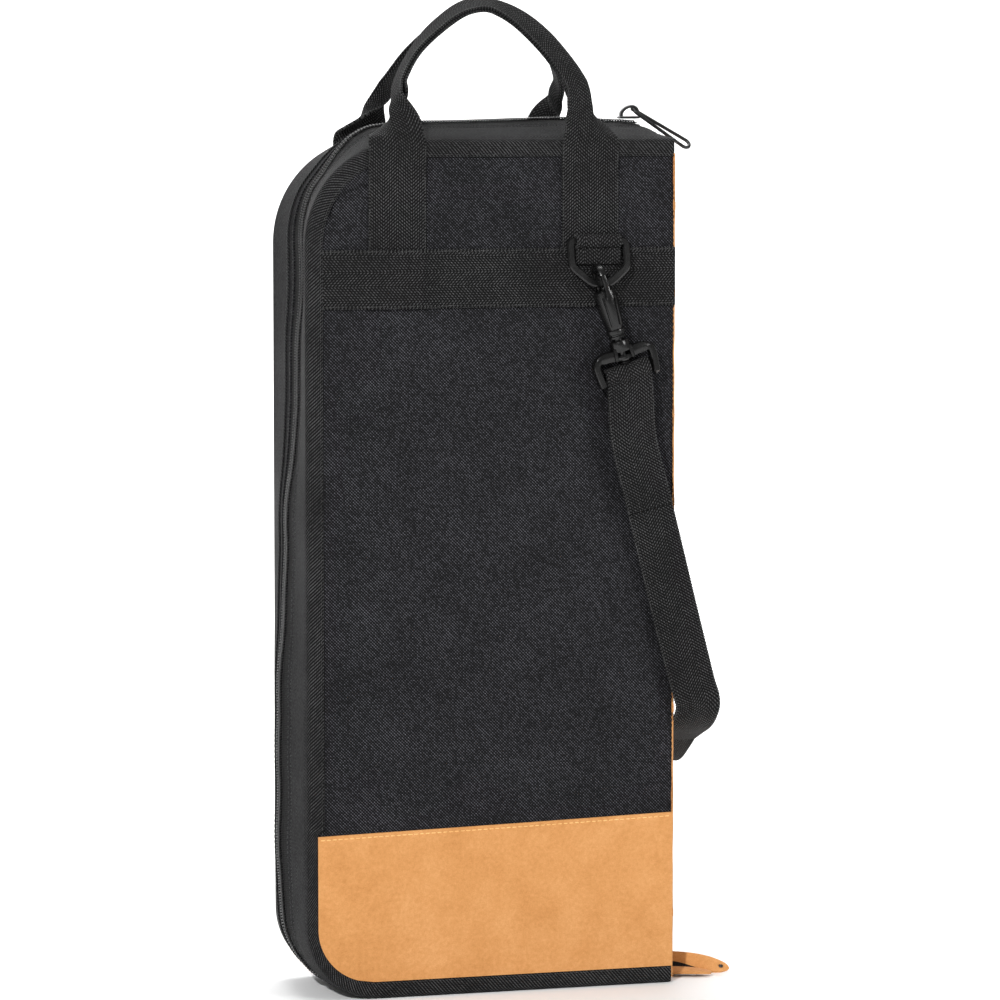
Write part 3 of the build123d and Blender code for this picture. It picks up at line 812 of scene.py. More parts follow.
def handle(half):
    """One length of webbing: flat legs, folded edge to edge through the arch."""
    front = half == "front"
    line = handle_line(FAR_SWAY if front else 0.0)
    height = (line[:, 2] - PIVOT_Z) / cos(LEAN)
    fold = np.interp(height, (-6, 8, 20, 30), (0, 0.3, 0.62, 1))
    lean = eased(line[:, 2], ((0, 0), (PIVOT_Z - 8, 0), (PIVOT_Z + 8, 1), (1e4, 1))) * LEAN
    twist = np.radians(eased(line[:, 0], FAR_TURNS if front else NEAR_TURNS))
    twist = twist * np.interp(height, (0, 22), (0, 1))
    tangent = unit(np.gradient(line, axis=0))
    normal = np.stack([np.zeros_like(lean), -np.cos(lean), np.sin(lean)], -1)
    across = unit(np.cross(tangent, normal))
    normal = np.cross(across, tangent)
    turned = across * np.cos(twist)[:, None] + normal * np.sin(twist)[:, None]
    facing = normal * np.cos(twist)[:, None] - across * np.sin(twist)[:, None]
    columns = np.linspace(-HANDLE_WEB / 2, HANDLE_WEB / 2, 25)
    grid = np.zeros((len(line), len(columns), 3))
    for number, offset in enumerate(columns):
        reach = abs(offset)
        layer = np.minimum(1.0, reach / 2.5) * fold * 1.05
        if offset < 0:
            place = -reach * np.cos(pi * fold)
            depth = -0.35 * reach * np.sin(pi * fold) - layer
        else:
            place = reach * np.ones_like(fold)
            depth = layer
        place = place * (1 - 0.12 * fold) - 7.0 * fold
        grid[:, number] = line + turned * place[:, None] + facing * depth[:, None]
    run = lengths(line)
    cloth = cloth_places(run, columns + HANDLE_WEB / 2)
    piece = webbing_solid("handle_webbing", grid, cloth, half, normal[:, None])
    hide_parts(f"{half}_handle_legs", f"{half}_handle_grip")
    y = (-PIVOT_Y if front else PIVOT_Y) * MM
    for part in (piece, *selvedges("handle", grid, ("outer", "inner"), WEB_THICK, half)):
        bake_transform(part)


def bent_web(line, columns):
    """Grid of 25 mm webbing whose width lies along X, and its places on the flat cloth."""
    width = np.linspace(-STRAP_WEB / 2, STRAP_WEB / 2, columns)
    grid = np.repeat(line[:, None], columns, 1)
    grid[..., 0] += width[None]
    return grid, cloth_places(lengths(line), width)


def ring_tab(half):
    """Tab of webbing that comes down from above the band and wraps the D-ring's bar."""
    radius = 3.1
    face = -(float(face_height(RING_X, RING_Z + 6)) + 2.0 + WEB_THICK / 2)
    angles = np.radians(np.linspace(200, -150, 15))
    wrap = [(RING_X, -RING_Y - radius * cos(a), RING_Z + radius * sin(a)) for a in angles[2:]]
    head = [(RING_X, face, RING_Z - 8.0), (RING_X, face, RING_Z - 3.0)]
    tail = [(RING_X, face - 1.5, RING_Z - 5.5), (RING_X, face - 1.4, RING_Z - 12.5)]
    line = smooth_path([*head, *wrap, *tail], 0.7)
    grid, cloth = bent_web(line, 15)
    piece = webbing_solid("ring_tab", grid, cloth, half)
    fit(piece, half, "webbing", "d_ring_tab")
    for loops in selvedges("tab", grid, ("left", "right"), WEB_THICK, half):
        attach(loops, f"{half}_half")


# ---- D-ring and swivel hook ----------------------------------------------------------------


def rounded_loop(corners, radius, steps=6):
    """Closed line through corners, each turned by an arc, as points in a plane."""
    corners = np.array(corners, float)
    line = []
    for before, corner, after in zip(np.roll(corners, 1, 0), corners, np.roll(corners, -1, 0)):
        start = corner + (before - corner) / np.linalg.norm(before - corner) * radius
        end = corner + (after - corner) / np.linalg.norm(after - corner) * radius
        for share in np.linspace(0, 1, steps):
            line.append((1 - share) ** 2 * start + 2 * share * (1 - share) * corner + share**2 * end)
    return np.array(line)


def soft_square(half_wide, half_high, power=4.0):
    """Section with rounded corners; a higher power makes them sharper."""
    round_section = circle(1.0, 16)
    return np.sign(round_section) * np.abs(round_section) ** (2 / power) * (half_wide, half_high)


def bevelled(half_wide, half_high, bevel):
    """Flat-faced section with its four corners cut."""
    wide, high = half_wide - bevel, half_high - bevel
    return np.array([(half_wide, -high), (half_wide, high), (wide, half_high), (-wide, half_high),
                     (-half_wide, high), (-half_wide, -high), (-wide, -half_high), (wide, -half_high)])


def d_ring(half):
    """D-ring whose straight bar is at the top and whose point hangs outwards."""
    side, shoulder, foot, bottom = 15.9, -14.5, 5.0, -23.9
    corners = [(-side, 0), (side, 0), (side, shoulder), (foot, bottom), (-foot, bottom), (-side, shoulder)]
    loop = rounded_loop(corners, 3.0)
    tip = np.array([0, -sin(RING_TILT), -cos(RING_TILT)])
    path = np.array([RING_X, -RING_Y, RING_Z]) + loop[:, :1] * np.array([1, 0, 0]) - loop[:, 1:] * tip
    rings = sweep(path, bevelled(2.1, 1.5, 0.75), (0.0, -cos(RING_TILT), sin(RING_TILT)), closed=True)
    fit(skin("ring", [rings], "plastic", half, closed=True), half, "plastic", "d_ring", body="d_ring")


def at_hook(points):
    """From the hook's own axes to the row frame: it leans outwards as it hangs."""
    points = np.asarray(points, float)
    x, y, z = points[..., 0], points[..., 1], points[..., 2]
    across = RING_X + x * cos(HOOK_TILT) - z * sin(HOOK_TILT)
    height = EYE_Z + x * sin(HOOK_TILT) + z * cos(HOOK_TILT)
    return np.stack([across, y - EYE_Y, height], -1)


def lathe(profile, sides=32):
    """Rings of a turned part from (radius, height) points."""
    rings = [np.column_stack([circle(radius, sides), np.full(sides, height)]) for radius, height in profile]
    return np.array(rings)


def faceted(profile):
    """Rings of a tapered part with a broad flat front and narrower side facets."""
    corners = np.array([(0.98, -0.3), (0.98, 0.35), (0.6, 0.85), (-0.6, 0.85), (-0.98, 0.35),
                        (-0.98, -0.3), (-0.62, -0.86), (-0.12, -0.98), (0.5, -0.9)])
    corners = rounded_loop(corners, 0.1, 3)
    count = len(corners)
    return np.array([np.column_stack([corners * size, np.full(count, height)]) for size, height in profile])


def rounded_bar(start, end, half_wide, half_high, up):
    """Straight bar with a soft square section and slightly closed ends."""
    line = np.linspace(start, end, 6)
    line[1] = line[0] + (line[-1] - line[0]) * 0.04
    line[-2] = line[-1] - (line[-1] - line[0]) * 0.04
    section = soft_square(half_wide, half_high, 5.0)
    scale = np.array([0.8, 0.97, 1, 1, 0.97, 0.8])[:, None, None]
    return sweep(line, section[None] * scale, up)


def hook(half):
    """Snap hook: an eye seen edge-on, a tapered barrel with ribs, a collar and the swivel shank."""
    angles = np.radians(np.linspace(0, 180, 13))
    arc = [(0, 6.5 * cos(a), 0.9 + 6.5 * sin(a)) for a in angles[:-1]]
    line = np.array([(0, 6.3, -9.0), (0, 6.5, -4.0), *arc])
    width = np.linspace(2.4, 2.0, len(line))[:, None, None]
    eye = sweep(line, soft_square(1.0, 1.0)[None] * np.concatenate([width, width], -1), (1.0, 0, 0))
    barrel = faceted([(4.9, -5.6), (5.8, -6.4), (6.3, -9.5), (6.3, -14.0), (5.9, -20.0), (5.1, -26.5),
                      (4.6, -28.2)])
    collar = lathe([(4.2, -28.0), (5.3, -28.5), (5.5, -29.6), (5.3, -30.6), (4.4, -31.0), (4.4, -31.6),
                    (4.9, -32.0), (4.9, -33.0), (3.0, -33.4)])
    shank = lathe([(2.6, -33.0), (2.6, -46.2), (3.4, -46.5), (3.8, -47.2), (3.2, -48.0)], 20)
    parts = [eye, barrel, collar, shank]
    for side in (1, -1):
        parts.append(rounded_bar((side * 3.4, -5.6, -9), (side * 2.6, -4.6, -26), 0.5, 1.3, (0, 1, 0)))
    piece = skin("snap_hook", [at_hook(rings) for rings in parts], "plastic", half)
    fit(piece, half, "plastic", "hook", body="hook")


def gate(half):
    """Spring gate: the tongue that closes the eye, with a thumb rest."""
    line = [(0, -6.6, 3.1), (0, -6.8, 0.0), (0, -6.9, -4.0), (0, -7.4, -8.2), (0, -7.6, -10.5)]
    line = smooth_path(line, 0.7)
    wide = eased(line[:, 2], ((-20, 2.3), (-9.5, 2.3), (-7, 1.6), (4, 1.4)))
    section = soft_square(1.0, 1.0)[None] * np.stack([np.full_like(wide, 1.3), wide], -1)[:, None]
    rings = at_hook(sweep(line, section, (1.0, 0, 0)))
    fit(skin("gate_tongue", [rings], "plastic", half), half, "plastic", "hook_gate", body="gate")


def swivel(half):
    """Swivel base: a stepped bridge round the shank, two curved arms and the strap's bar."""
    hub = lathe([(4.4, -34.4), (5.2, -34.9), (5.5, -36.0), (5.7, -40.0), (5.3, -40.8)], 28)
    ring = lathe([(3.2, -43.2), (5.0, -43.0), (5.6, -43.8), (5.6, -45.0), (5.0, -45.8), (3.2, -45.8)], 28)
    parts = [hub, ring]
    for side in (-1, 1):
        parts.append(rounded_bar((side * 4.3, 0, -38.4), (side * 4.9, 0, -45.6), 1.2, 4.3, (0, 1, 0)))
        arm = [(4.5, -42.5), (10, -42.0), (14.5, -42.6), (16.6, -45.5), (16.3, -52.0), (15.4, -59.0)]
        arm = smooth_path([(side * x, 0, z) for x, z in arm], 1.0)
        high = eased(np.abs(arm[:, 0]), ((0, 3.4), (11, 3.2), (16, 2.2), (20, 2.0)))
        end = np.minimum(1, (lengths(arm)[::-1] + 0.6) / 2.5)
        size = np.stack([high * end, 3.4 * end], -1)[:, None] * 0.98
        parts.append(sweep(arm, soft_square(1.0, 1.0)[None] * size, (0.0, 1, 0)))
    bar = np.linspace((-BAR_HALF, 0, -BAR_DROP), (BAR_HALF, 0, -BAR_DROP), 4)
    parts.append(sweep(bar, circle(1.6, 12), (0.0, 1, 0)))
    piece = skin("swivel", [at_hook(rings) for rings in parts], "plastic", half)
    fit(piece, half, "plastic", "swivel_base", body="d_ring")


# ---- Shoulder strap ------------------------------------------------------------------------


BAR_DROP = 55.0
BAR_HALF = 15.0
BAR_X = RING_X + BAR_DROP * sin(HOOK_TILT)
BAR_Z = EYE_Z - BAR_DROP * cos(HOOK_TILT)
BIGHT_Z = 132.0
STRAP_SPLIT_Z = 250.0
STRAP_FOLD_Z = 268.0
LOOP_X = 118.0


def strap_line(front):
    """Middle line of the strap from the swivel bar to the bottom of its slack loop."""
    if front:
        run = [(BAR_X + 2.6, -47.4, BAR_Z - 8), (84.0, -45.2, 309), (96.3, -45.0, 260), (108.6, -45.0, 210)]
        bight = [(-45.2, 150), (-45.0, 134), (-43.0, 122), (-36.0, 115.2), (-24.0, 117.5), (-10.0, 125.5)]
    else:
        run = [(BAR_X + 0.8, -48.3, BAR_Z - 9), (78.6, -47.8, 306), (87.6, -46.8, 272), (96.4, -46.0, 238),
               (104.8, -45.6, 205)]
        bight = [(-43.6, 158), (-38.0, 149), (-28.0, 142.5), (-14.0, 137.2)]
    loop = [(LOOP_X, depth, height) for depth, height in (*bight, (0.0, BIGHT_Z))]
    return smooth_path([(BAR_X, -EYE_Y, BAR_Z), *run, (LOOP_X - 4.2, -45.4, 171), *loop], 1.5)


def strap_piece(name, line, normal, start, half):
    """One stretch of strap with its two thread-looped edges; normal is the way that it faces."""
    tangent = unit(np.gradient(line, axis=0))
    across = unit(np.cross(tangent, normal))
    facing = np.cross(across, tangent)
    offsets = np.linspace(-STRAP_WEB / 2, STRAP_WEB / 2, 13)
    bowl = 0.3 * (1 - (2 * offsets / STRAP_WEB) ** 2)
    grid = line[:, None] + across[:, None] * offsets[None, :, None] + facing[:, None] * bowl[None, :, None]
    cloth = cloth_places(lengths(line) + start, offsets + STRAP_WEB / 2)
    piece = webbing_solid(name, grid, cloth, half)
    return [piece, *selvedges(name, grid, ("left", "right"), WEB_THICK, half)]


def strap(half):
    """Hanging run in two stretches, its turned-back end, and the turn round the bar."""
    front = half == "front"
    line = strap_line(front)
    height = line[:, 2]
    yaw = eased(height, ((0, 0), (150, 0), (215, -0.2), (330, -0.05), (400, 0))) * (0 if front else 1)
    across = np.stack([np.cos(yaw), np.sin(yaw), np.zeros_like(yaw)], -1)
    normal = np.cross(unit(np.gradient(line, axis=0)), across)
    split = int(np.argmin(np.abs(height - STRAP_SPLIT_Z)))
    top_parts = strap_piece("strap_upper", line[: split + 1], normal[: split + 1], 0, half)
    low_parts = strap_piece("strap_lower", line[split:], normal[split:], lengths(line)[split], half)
    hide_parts(f"{half}_strap_run", f"{half}_strap_fold")
    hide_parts("strap_loop")
    doubled = int(np.argmin(np.abs(height - STRAP_FOLD_Z))) + 1
    second = line[:doubled] + unit(normal[:doubled]) * (WEB_THICK + 0.15)
    fold = strap_piece("strap_turned_end", second, normal[:doubled], 3.0, half)
    y = (STRAP_Y if front else -STRAP_Y) * MM
    for part in top_parts + fold:
        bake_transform(part)
    blend_to_spine(low_parts, front)
    wrap(half)


def wrap(half):
    """Turn of webbing round the swivel's bar."""
    radius = 4.35
    angles = np.radians(np.linspace(-55, 235, 21))
    line = np.array([(0, -radius * cos(a), 2 - BAR_DROP + radius * sin(a)) for a in angles])
    grid, cloth = bent_web(line, 13)
    piece = webbing_solid("strap_turn", at_hook(grid), cloth, half)
    fit(piece, half, "webbing", body="d_ring")


# ---- Spine ---------------------------------------------------------------------------------


def blend_to_spine(parts, front):
    """Bake each piece's transform into its mesh, alike for either half."""
    for part in parts:
        if front:
            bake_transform(part)
        else:
            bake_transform(part)


def spine_half(half):
    """Suede from the face's edge, round the corner and across half of the spine."""
    front = half == "front"
    sign = 1 if front else -1
    z_values = np.linspace(SPINE_LOW, SPINE_HIGH, 240)
    wander = 0.25 * np.sin(z_values / 9.0) + 0.2 * np.sin(z_values / 3.7 + 0.5)
    profile = ((-0.1, 38.2), (0.15, 38.2), (0.45, 37.9), (0.75, 37.2), (0.9, 35.0), (0.8, 30.0), (0.7, 20.0),
               (0.6, 10.0), (0.6, 0.0))
    columns = []
    for number, (out, depth) in enumerate(profile):
        shift = wander * (1.0 if number == 0 else 0.3)
        columns.append(at_depth(RIGHT + out - shift, depth, z_values))
    grid = np.stack(columns, 1)
    cloth = cloth_places(z_values, lengths(grid[0]))
    piece = cloth_solid("spine_suede", grid, cloth, (1, 0, 0), 1.2, "suede", half)
    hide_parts("spine_suede", "spine_foam")
    path = at_depth(np.full_like(z_values, RIGHT - 0.4), 38.35, z_values)
    row = stitches("spine_stitches", path, OUT, 3.3, (0.9, 0.3, 0.25), "suede", half)
    path = at_depth(np.full_like(z_values, RIGHT + 0.95), 34.0, z_values)
    inner = stitches("spine_side_stitches", path, (1, 0, 0), 3.3, (1.2, 0.3, 0.3), "tan_thread", half)
    rows = np.linspace(SPINE_LOW + 4, SPINE_HIGH - 4, 60)
    bend = ((-2.5, 30.3), (-4.5, 29.6), (-6.4, 29.2), (-7.2, 28.0), (-7.3, 26.0))
    grid = np.array([[(RIGHT + out, -depth, z) for out, depth in bend] for z in rows])
    cloth = cloth_places(rows, np.arange(5) * 2.0)
    hinge = cloth_solid("hinge_lining", grid, cloth, (-1, 0, 0), 0.6, "lining", half)
    half_end, spine_end = sign * 0.0372, sign * 0.0304
    blend_to_spine((piece, row, inner), front)
    blend_to_spine((hinge,), front)


def spine_inside():
    """Lining of the spine, and the cloth cap over its top end."""
    z_values = np.linspace(SPINE_LOW, SPINE_HIGH, 120)
    depths = np.linspace(-28.5, 28.5, 24)
    y, z = np.meshgrid(depths, z_values)
    x = RIGHT - 7.3 - 0.7 * np.cos(y / 28.5 * pi / 2) + 0.2 * np.sin(z / 13.0)
    grid = np.stack([x, y, z], -1)
    cloth = cloth_places(z_values, depths)
    piece = cloth_solid("spine_inner_lining", grid, cloth, (-1, 0, 0), 0.8, "lining")
    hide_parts("spine_lining")
    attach(piece, "spine")
    rows = np.linspace(0, 1, 16)
    columns = np.linspace(-37.0, 37.0, 60)
    share, y = np.meshgrid(rows, columns, indexing="ij")
    bow = CROWN * (1 - np.abs(y / FACE) ** 1.25)
    x = RIGHT + 0.1 - 9.0 * share**2
    z = SPINE_HIGH - 6 + (TOP - SPINE_HIGH + 4.0) * share + bow * 0.8 * share
    grid = np.stack([x, y, z], -1)
    cap = cloth_solid("spine_top_cap", grid, np.stack([share * 15, y], -1), (1, 0, 1), 1.0, "canvas")
    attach(cap, "spine")


def leaf(name, root, tip, spread_root, spread_tip, size, material, thickness):
    """Twisted leaf between a root and a tip, with a rounded point."""
    rows = np.linspace(0, 1, 34)
    columns = np.linspace(-1, 1, 17)
    half_width = size * np.sqrt(np.maximum(1 - np.clip((rows - 0.12) / 0.88, 0, 1) ** 3.6 * 0.97, 0.002))
    share = rows[:, None, None]
    centre = np.array(root) * (1 - share) + np.array(tip) * share
    centre = centre + np.array([0, -2.5, 1.2]) * np.sin(share * pi)
    spread = np.array(spread_root) * (1 - share) + np.array(spread_tip) * share
    grid = centre + unit(spread) * (half_width[:, None] * columns[None])[..., None]
    cupped = 0.9 * (1 - columns**2)[None, :, None] * np.array([0, -1, 0.4])
    grid = grid + cupped * (1 - share)
    grid[..., 2] = np.maximum(grid[..., 2], 0.4 + thickness)
    cloth = cloth_places(rows * 35, columns * size)
    return cloth_solid(name, grid, cloth, (0, -1, 0.3), thickness, material, lift=thickness / 2)


def end_tab():
    """Two leaves of suede sewn over the zipper's black end, at the foot of the spine."""
    near = leaf("zipper_tab_near_leaf", (104.6, -8.0, 6.2), (143.0, -25.0, 4.2), (0, 0.1, 1),
                (-0.35, 0.5, 0.85), 6.0, "suede", 1.4)
    far = leaf("zipper_tab_far_leaf", (104.6, -15.0, 2.4), (132.0, -26.0, 2.0), (0, 1, 0.2),
               (-0.2, 1, 0.1), 5.6, "suede", 1.4)
    core = leaf("zipper_tab_tape", (104.6, -9.5, 4.4), (130.0, -22.0, 2.6), (0, 0.5, 0.8),
                (-0.2, 0.9, 0.3), 6.2, "tape", 0.8)
    # A dark bead on the near leaf stands for the hole through it: painted shade, not an opening.
    hole_shade = beads("zipper_tab_hole_painted_shade", np.array([[138.4, -25.2, 5.0]]), (0.9, -0.35, -0.1), (-0.2, -0.7, 0.7),
                 (1.3, 1.1, 0.5), "coil")
    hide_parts("zipper_end_tab")
    for piece, slot in ((near, "suede"), (far, "suede"), (core, "zipper_tape"), (hole_shade, "coil")):
        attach(piece, "spine")


# ---- Zipper slider and pull ----------------------------------------------------------------

SLIDER_X = cad("zipper_slider")[0][0] + 6.0
RIDGE = TOP + CROWN
PULL_X = SLIDER_X + 2.0
PULL_Z = RIDGE + 0.35 + 1.4 + 3.9
PULL_YAW = radians(15)
PULL_DROOP = radians(33)
PULL_ROLL = radians(38)
PULL_LENGTH = 38.0
PULL_HALF = 3.1
PULL_WIRE = 1.0


def slider():
    """Slider body: two rounded plates and a bridge that holds the pull."""
    outline = rounded_loop([(-6, -4.2), (-2, -5.5), (4, -5.5), (6, -3.0), (6, 3.0), (4, 5.5), (-2, 5.5),
                            (-6, 4.2)], 1.2, 4)
    parts = []
    for low, high in ((0.35, 1.75), (-4.0, -2.6)):
        layers = []
        for share, inset in ((0.0, 0.88), (0.25, 1.0), (0.75, 1.0), (1.0, 0.88)):
            level = low + (high - low) * share
            layers.append(np.column_stack([outline * inset, np.full(len(outline), level)]))
        parts.append(np.array(layers)[:, ::-1])
    arch = smooth_path([(-4.6, 0, 1.4), (-4.0, 0, 4.2), (-1.4, 0, 6.5), (1.8, 0, 7.2), (4.0, 0, 6.3),
                        (5.0, 0, 4.4), (4.8, 0, 3.2)], 0.6)
    parts.append(sweep(arch, soft_square(0.85, 2.1), (0.0, 1, 0)))
    piece = skin("zip_slider_body", [rings + np.array([SLIDER_X, 0, RIDGE]) for rings in parts], "metal")
    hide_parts("zipper_slider")
    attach(piece, "zip_slider")


def turn(first, second, angle):
    """Two coordinates after a turn from the first towards the second."""
    return first * np.cos(angle) - second * np.sin(angle), second * np.cos(angle) + first * np.sin(angle)


def pull():
    """Long narrow loop of round wire that lies over the slider's bridge."""
    angles = np.radians(np.linspace(90, 270, 13))
    near = [(PULL_HALF * (1 + cos(a)), PULL_HALF * sin(a), 0) for a in angles]
    far = [(PULL_LENGTH - PULL_HALF * (1 + cos(a)), -PULL_HALF * sin(a), 0) for a in angles]
    rings = sweep(np.array([*near, *far]), circle(PULL_WIRE, 10), (0.0, 0, 1), closed=True)
    x, y, z = rings[..., 0], rings[..., 1], rings[..., 2]
    y, z = turn(y, z, PULL_ROLL * np.clip(x / 14, 0, 1))
    x, z = turn(x, z, -PULL_DROOP)
    x, y = turn(x, y, -PULL_YAW)
    rings = np.stack([x, y, z], -1) + np.array([PULL_X, 0, PULL_Z])
    piece = skin("zip_pull_loop", [rings], "metal", closed=True, crease=48)
    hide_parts("zipper_pull")
    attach(piece, "zip_pull")


# ---- Inside --------------------------------------------------------------------------------


def tray_lining(half):
    """Slightly creased lining over the foam."""
    z_values = np.linspace(4.0, TOP - 4.0, 120)
    left = wall_left(z_values, 4.0)
    share = np.linspace(0, 1, 60)[None]
    x = left[:, None] * (1 - share) + (RIGHT - 2.0) * share
    z = np.repeat(z_values[:, None], 60, 1)
    puff = 0.5 * np.sin(x / 19.0 + 0.4) * np.sin(z / 31.0) + 0.25 * np.sin(x / 7.0 + z / 11.0)
    grid = np.stack([x, 0.4 * puff - LINING_IN - 0.2, z], -1)
    piece = cloth_solid("tray_lining", grid, grid[..., [0, 2]], (0, 1, 0), 0.9, "lining", half)
    fit(piece, half, "lining", "lining")


def sleeve(half, cells):
    """Sewn stick pockets: a sheet that dips to the lining at each divider, with a bound top."""
    low, high = cad(f"{half}_stick_sleeve")
    z_values = np.linspace(low[2], high[2], 70)
    across = np.linspace(0, cells, cells * 26 + 1)
    local = np.abs((across % 1.0) * 2 - 1)
    depth = 13.6 * np.sqrt(np.maximum(1 - local**5, 0))
    foot = np.minimum(1, (z_values - low[2] + 0.5) / 9.0)
    grid = np.zeros((len(z_values), len(across), 3))
    grid[..., 0] = low[0] + (high[0] - low[0]) * across / cells
    grid[..., 1] = -LINING_IN + 0.4 + depth[None] * np.sqrt(foot)[:, None]
    grid[..., 2] = z_values[:, None] - 1.2 * (depth / 14)[None] * (z_values[:, None] > high[2] - 12)
    run = lengths(grid[40])
    cloth = cloth_places(z_values, run)
    piece = cloth_solid("stick_pockets", grid, cloth, (0, 1, 0), 0.8, "canvas", half)
    fit(piece, half, "lining", "stick_sleeve")
    hem = grid[-6:] + np.array([0, 0.35, 0.6])
    cloth = cloth_places(np.arange(len(hem)) * 3.7, run)
    fit(cloth_solid("pocket_hem", hem, cloth, (0, 1, 0), 1.4, "binding", half), half, "binding")


# ---- Front pocket --------------------------------------------------------------------------


def pocket():
    """Bellows pocket on the front face: a raised skin with a corded edge."""
    low, high = cad("front_pocket")
    tape_low, tape_high = cad("pocket_zipper_tape")
    z_values = np.linspace(low[2] - 2, high[2] + 2, 150)
    x_values = np.linspace(low[0] - 2, high[0] + 2, 110)
    x, z = np.meshgrid(x_values, z_values)
    near = np.minimum(np.minimum(x - low[0], high[0] - x), np.minimum(z - low[2], high[2] - z))
    rise = (high[1] - low[1]) * np.sqrt(1 - (1 - np.clip((near + 0.8) / 7.0, 0, 1)) ** 2)
    in_slot = (x > tape_low[0]) & (x < tape_high[0]) & (z > tape_low[2]) & (z < tape_high[2])
    rise = rise - 1.3 * in_slot + 0.3 * np.sin(x / 23.0) * np.sin(z / 31.0) * (near > 8)
    grid = np.stack([x, face_height(x, z) + 0.2 + rise * (near > -0.9) - 0.6, z], -1)
    piece = cloth_solid("front_pocket_skin", grid, grid[..., [0, 2]], (0, 1, 0), 1.0, "canvas")
    fit(piece, "front", "canvas", "pocket")
    loop = rounded_loop([(low[0], low[2]), (high[0], low[2]), (high[0], high[2]), (low[0], high[2])], 5.0, 8)
    loop = np.vstack([loop, loop[:1]])
    line = resample(np.column_stack([loop[:, 0], np.zeros(len(loop)), loop[:, 1]]), 2.0)[:-1]
    line[:, 1] = face_height(line[:, 0], line[:, 2]) + 1.0
    rings = sweep(line, circle(1.7, 10), (0.0, 1, 0), closed=True)
    cloth = cloth_places(lengths(line), np.arange(10) * 1.1)
    piping = skin("front_pocket_piping", [rings], "binding", closed=True, crease=48, cloth=cloth)
    fit(piping, "front", "binding")
    pocket_zipper(tape_low, tape_high, high[1])


def pocket_zipper(low, high, out):
    """Two tapes with their coils, let into the pocket's skin."""
    middle = (low[2] + high[2]) / 2
    pitch = 1.5
    for side, label in ((-1, "lower"), (1, "upper")):
        rows = np.linspace(low[0], high[0], 60)
        offsets = np.array([9.0, 6.0, 3.0, 1.7])
        grid = np.array([[(x, out + 0.2, middle + side * offset) for offset in offsets] for x in rows])
        cloth = cloth_places(rows, offsets)
        tape = cloth_solid(f"pocket_{label}_tape", grid, cloth, (0, 1, 0), 0.8, "tape")
        angle = np.arange(0, 2 * pi * (high[0] - low[0]) / pitch, 2 * pi / 9)
        along = low[0] + angle / (2 * pi) * pitch + (pitch / 2 if side > 0 else 0)
        height = middle + side * (1.35 + 1.1 * np.cos(angle))
        path = np.stack([along, out + 0.25 + 0.45 * np.sin(angle), height], -1)
        rings = sweep(path, circle(0.3, 5), (0.0, 1, 0))
        coil = skin(f"pocket_{label}_coil", [rings], "coil", crease=48)
        fit(tape, "front", "zipper_tape")
        fit(coil, "front", "coil")
        if side < 0:
            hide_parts("pocket_zipper_tape")
            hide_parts("pocket_zipper_coil")


def kept_cad_nodes():
    """CAD pieces whose shape is right: rounded edges and a finish of their own."""
    finishes = {"pocket_slider": "metal", "pocket_pull": "metal", "strap_adjuster": "plastic"}
    for name, finish in finishes.items():
        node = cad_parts[name]
        node.data.materials.clear()
        node.data.materials.append(MATERIALS[finish])
        bevel = node.modifiers.new("rounded edges", "BEVEL")
        bevel.width = 0.35 * MM
        bevel.segments = 2
        bevel.limit_method = "ANGLE"
        bevel.angle_limit = radians(40)


# ---- Stage ---------------------------------------------------------------------------------


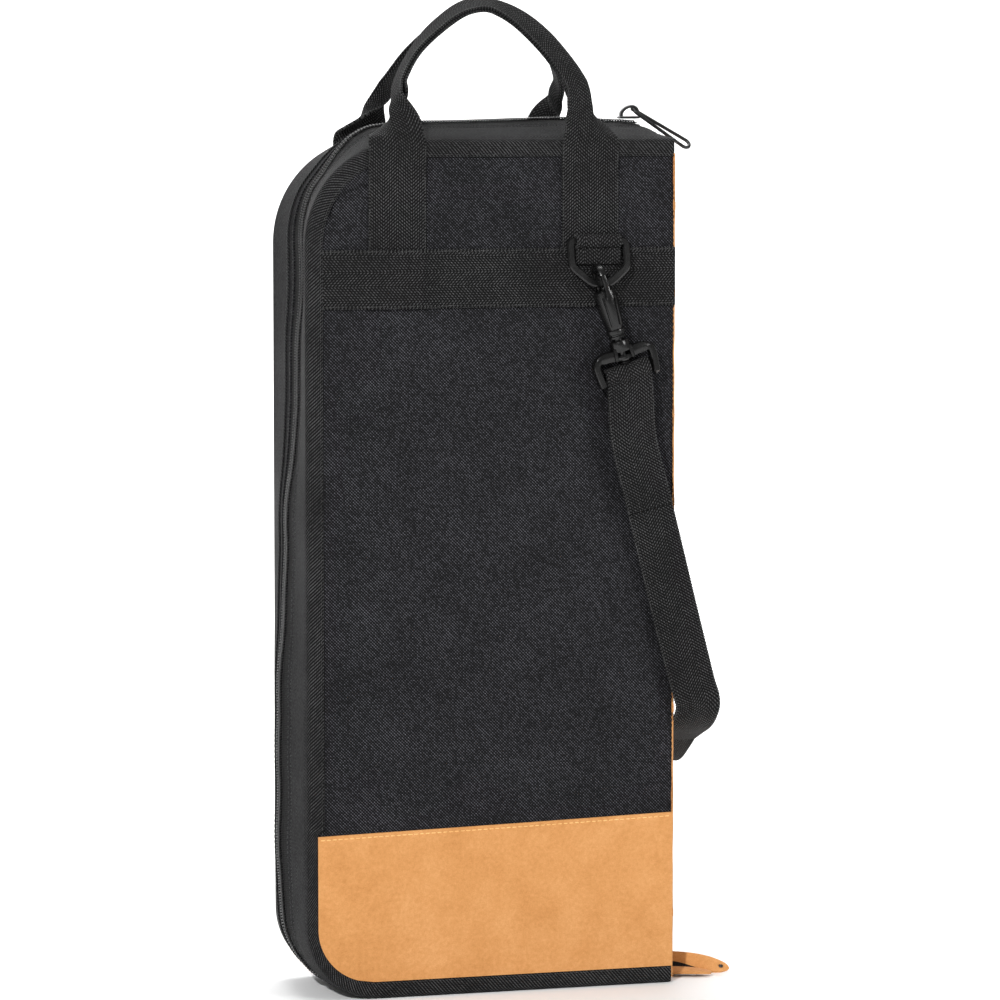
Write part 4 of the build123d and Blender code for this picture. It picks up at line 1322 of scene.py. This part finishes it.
def stage():
    """Pale floor that curves up behind the bag."""
    material = bpy.data.materials.new("studio_paper")
    material.use_nodes = True
    shader = material.node_tree.nodes["Principled BSDF"]
    shader.inputs["Base Color"].default_value = (0.92, 0.92, 0.92, 1)
    shader.inputs["Roughness"].default_value = 0.9
    shader.inputs["Specular IOR Level"].default_value = 0.1
    front, back, bend, top, half_width, drop = -6.0, 2.0, 1.5, 6.0, 8.0, 0.0002
    turns = np.radians(np.linspace(6, 90, 15))
    profile = [(front, 0.0), (back, 0.0), *[(back + bend * sin(a), bend - bend * cos(a)) for a in turns]]
    profile.append((back + bend, top))
    points = [(x, y, z - drop) for y, z in profile for x in (-half_width, half_width)]
    faces = [(2 * n, 2 * n + 1, 2 * n + 3, 2 * n + 2) for n in range(len(profile) - 1)]
    mesh = bpy.data.meshes.new("studio_floor")
    mesh.from_pydata(points, [], faces)
    mesh.materials.append(material)
    mesh.polygons.foreach_set("use_smooth", [True] * len(faces))
    floor = bpy.data.objects.new("studio_floor", mesh)
    bpy.context.scene.collection.objects.link(floor)


def area_light(name, place, target, size, power):
    """Square light at a place, turned to a target; metres and watts."""
    data = bpy.data.lights.new(name, "AREA")
    data.energy = power
    data.size = size
    light = bpy.data.objects.new(name, data)
    light.location = place
    light.rotation_euler = (Vector(target) - Vector(place)).to_track_quat("-Z", "Y").to_euler()
    bpy.context.scene.collection.objects.link(light)


def lights():
    """A small hard key from the upper left, weak fill, a soft top light and a lit background."""
    area_light("key", (-1.6, -2.4, 1.7), (0, 0, 0.25), 0.14, 78)
    area_light("fill", (1.6, -1.9, 1.2), (0, 0, 0.2), 0.6, 22)
    area_light("top", (0.1, 0.4, 2.4), (0, 0, 0.3), 1.2, 30)
    area_light("backdrop", (0, 1.4, 2.6), (0, 3.5, 0.9), 1.6, 120)
    world = bpy.data.worlds.new("studio")
    world.use_nodes = True
    world.node_tree.nodes["Background"].inputs["Color"].default_value = (1, 1, 1, 1)
    world.node_tree.nodes["Background"].inputs["Strength"].default_value = 0.22
    bpy.context.scene.world = world
    bpy.context.scene.view_settings.view_transform = "Standard"


def camera():
    """The photograph's view, as fitted to the frame."""
    azimuth, elevation = radians(-16.15), radians(5.21)
    back = Vector((sin(azimuth) * cos(elevation), -cos(azimuth) * cos(elevation), sin(elevation)))
    data = bpy.data.cameras.new("camera")
    data.lens = 167.36
    data.sensor_width = 36.0
    view = bpy.data.objects.new("camera", data)
    view.location = (-0.703, -2.482, 0.506)
    view.rotation_euler = (-back).to_track_quat("-Z", "Y").to_euler()
    bpy.context.scene.collection.objects.link(view)
    bpy.context.scene.camera = view


# ---- Build ---------------------------------------------------------------------------------

camera()
lights()
stage()
HALF_PARTS = (panel, binding, gusset, zipper, suede_patch, cross_band, handle, ring_tab, d_ring, hook, gate,
              swivel, strap, spine_half, tray_lining)
for half, cells in (("back", 4), ("front", 2)):
    for draw in HALF_PARTS:
        draw(half)
    sleeve(half, cells)
spine_inside()
end_tab()
slider()
pull()
pocket()
kept_cad_nodes()
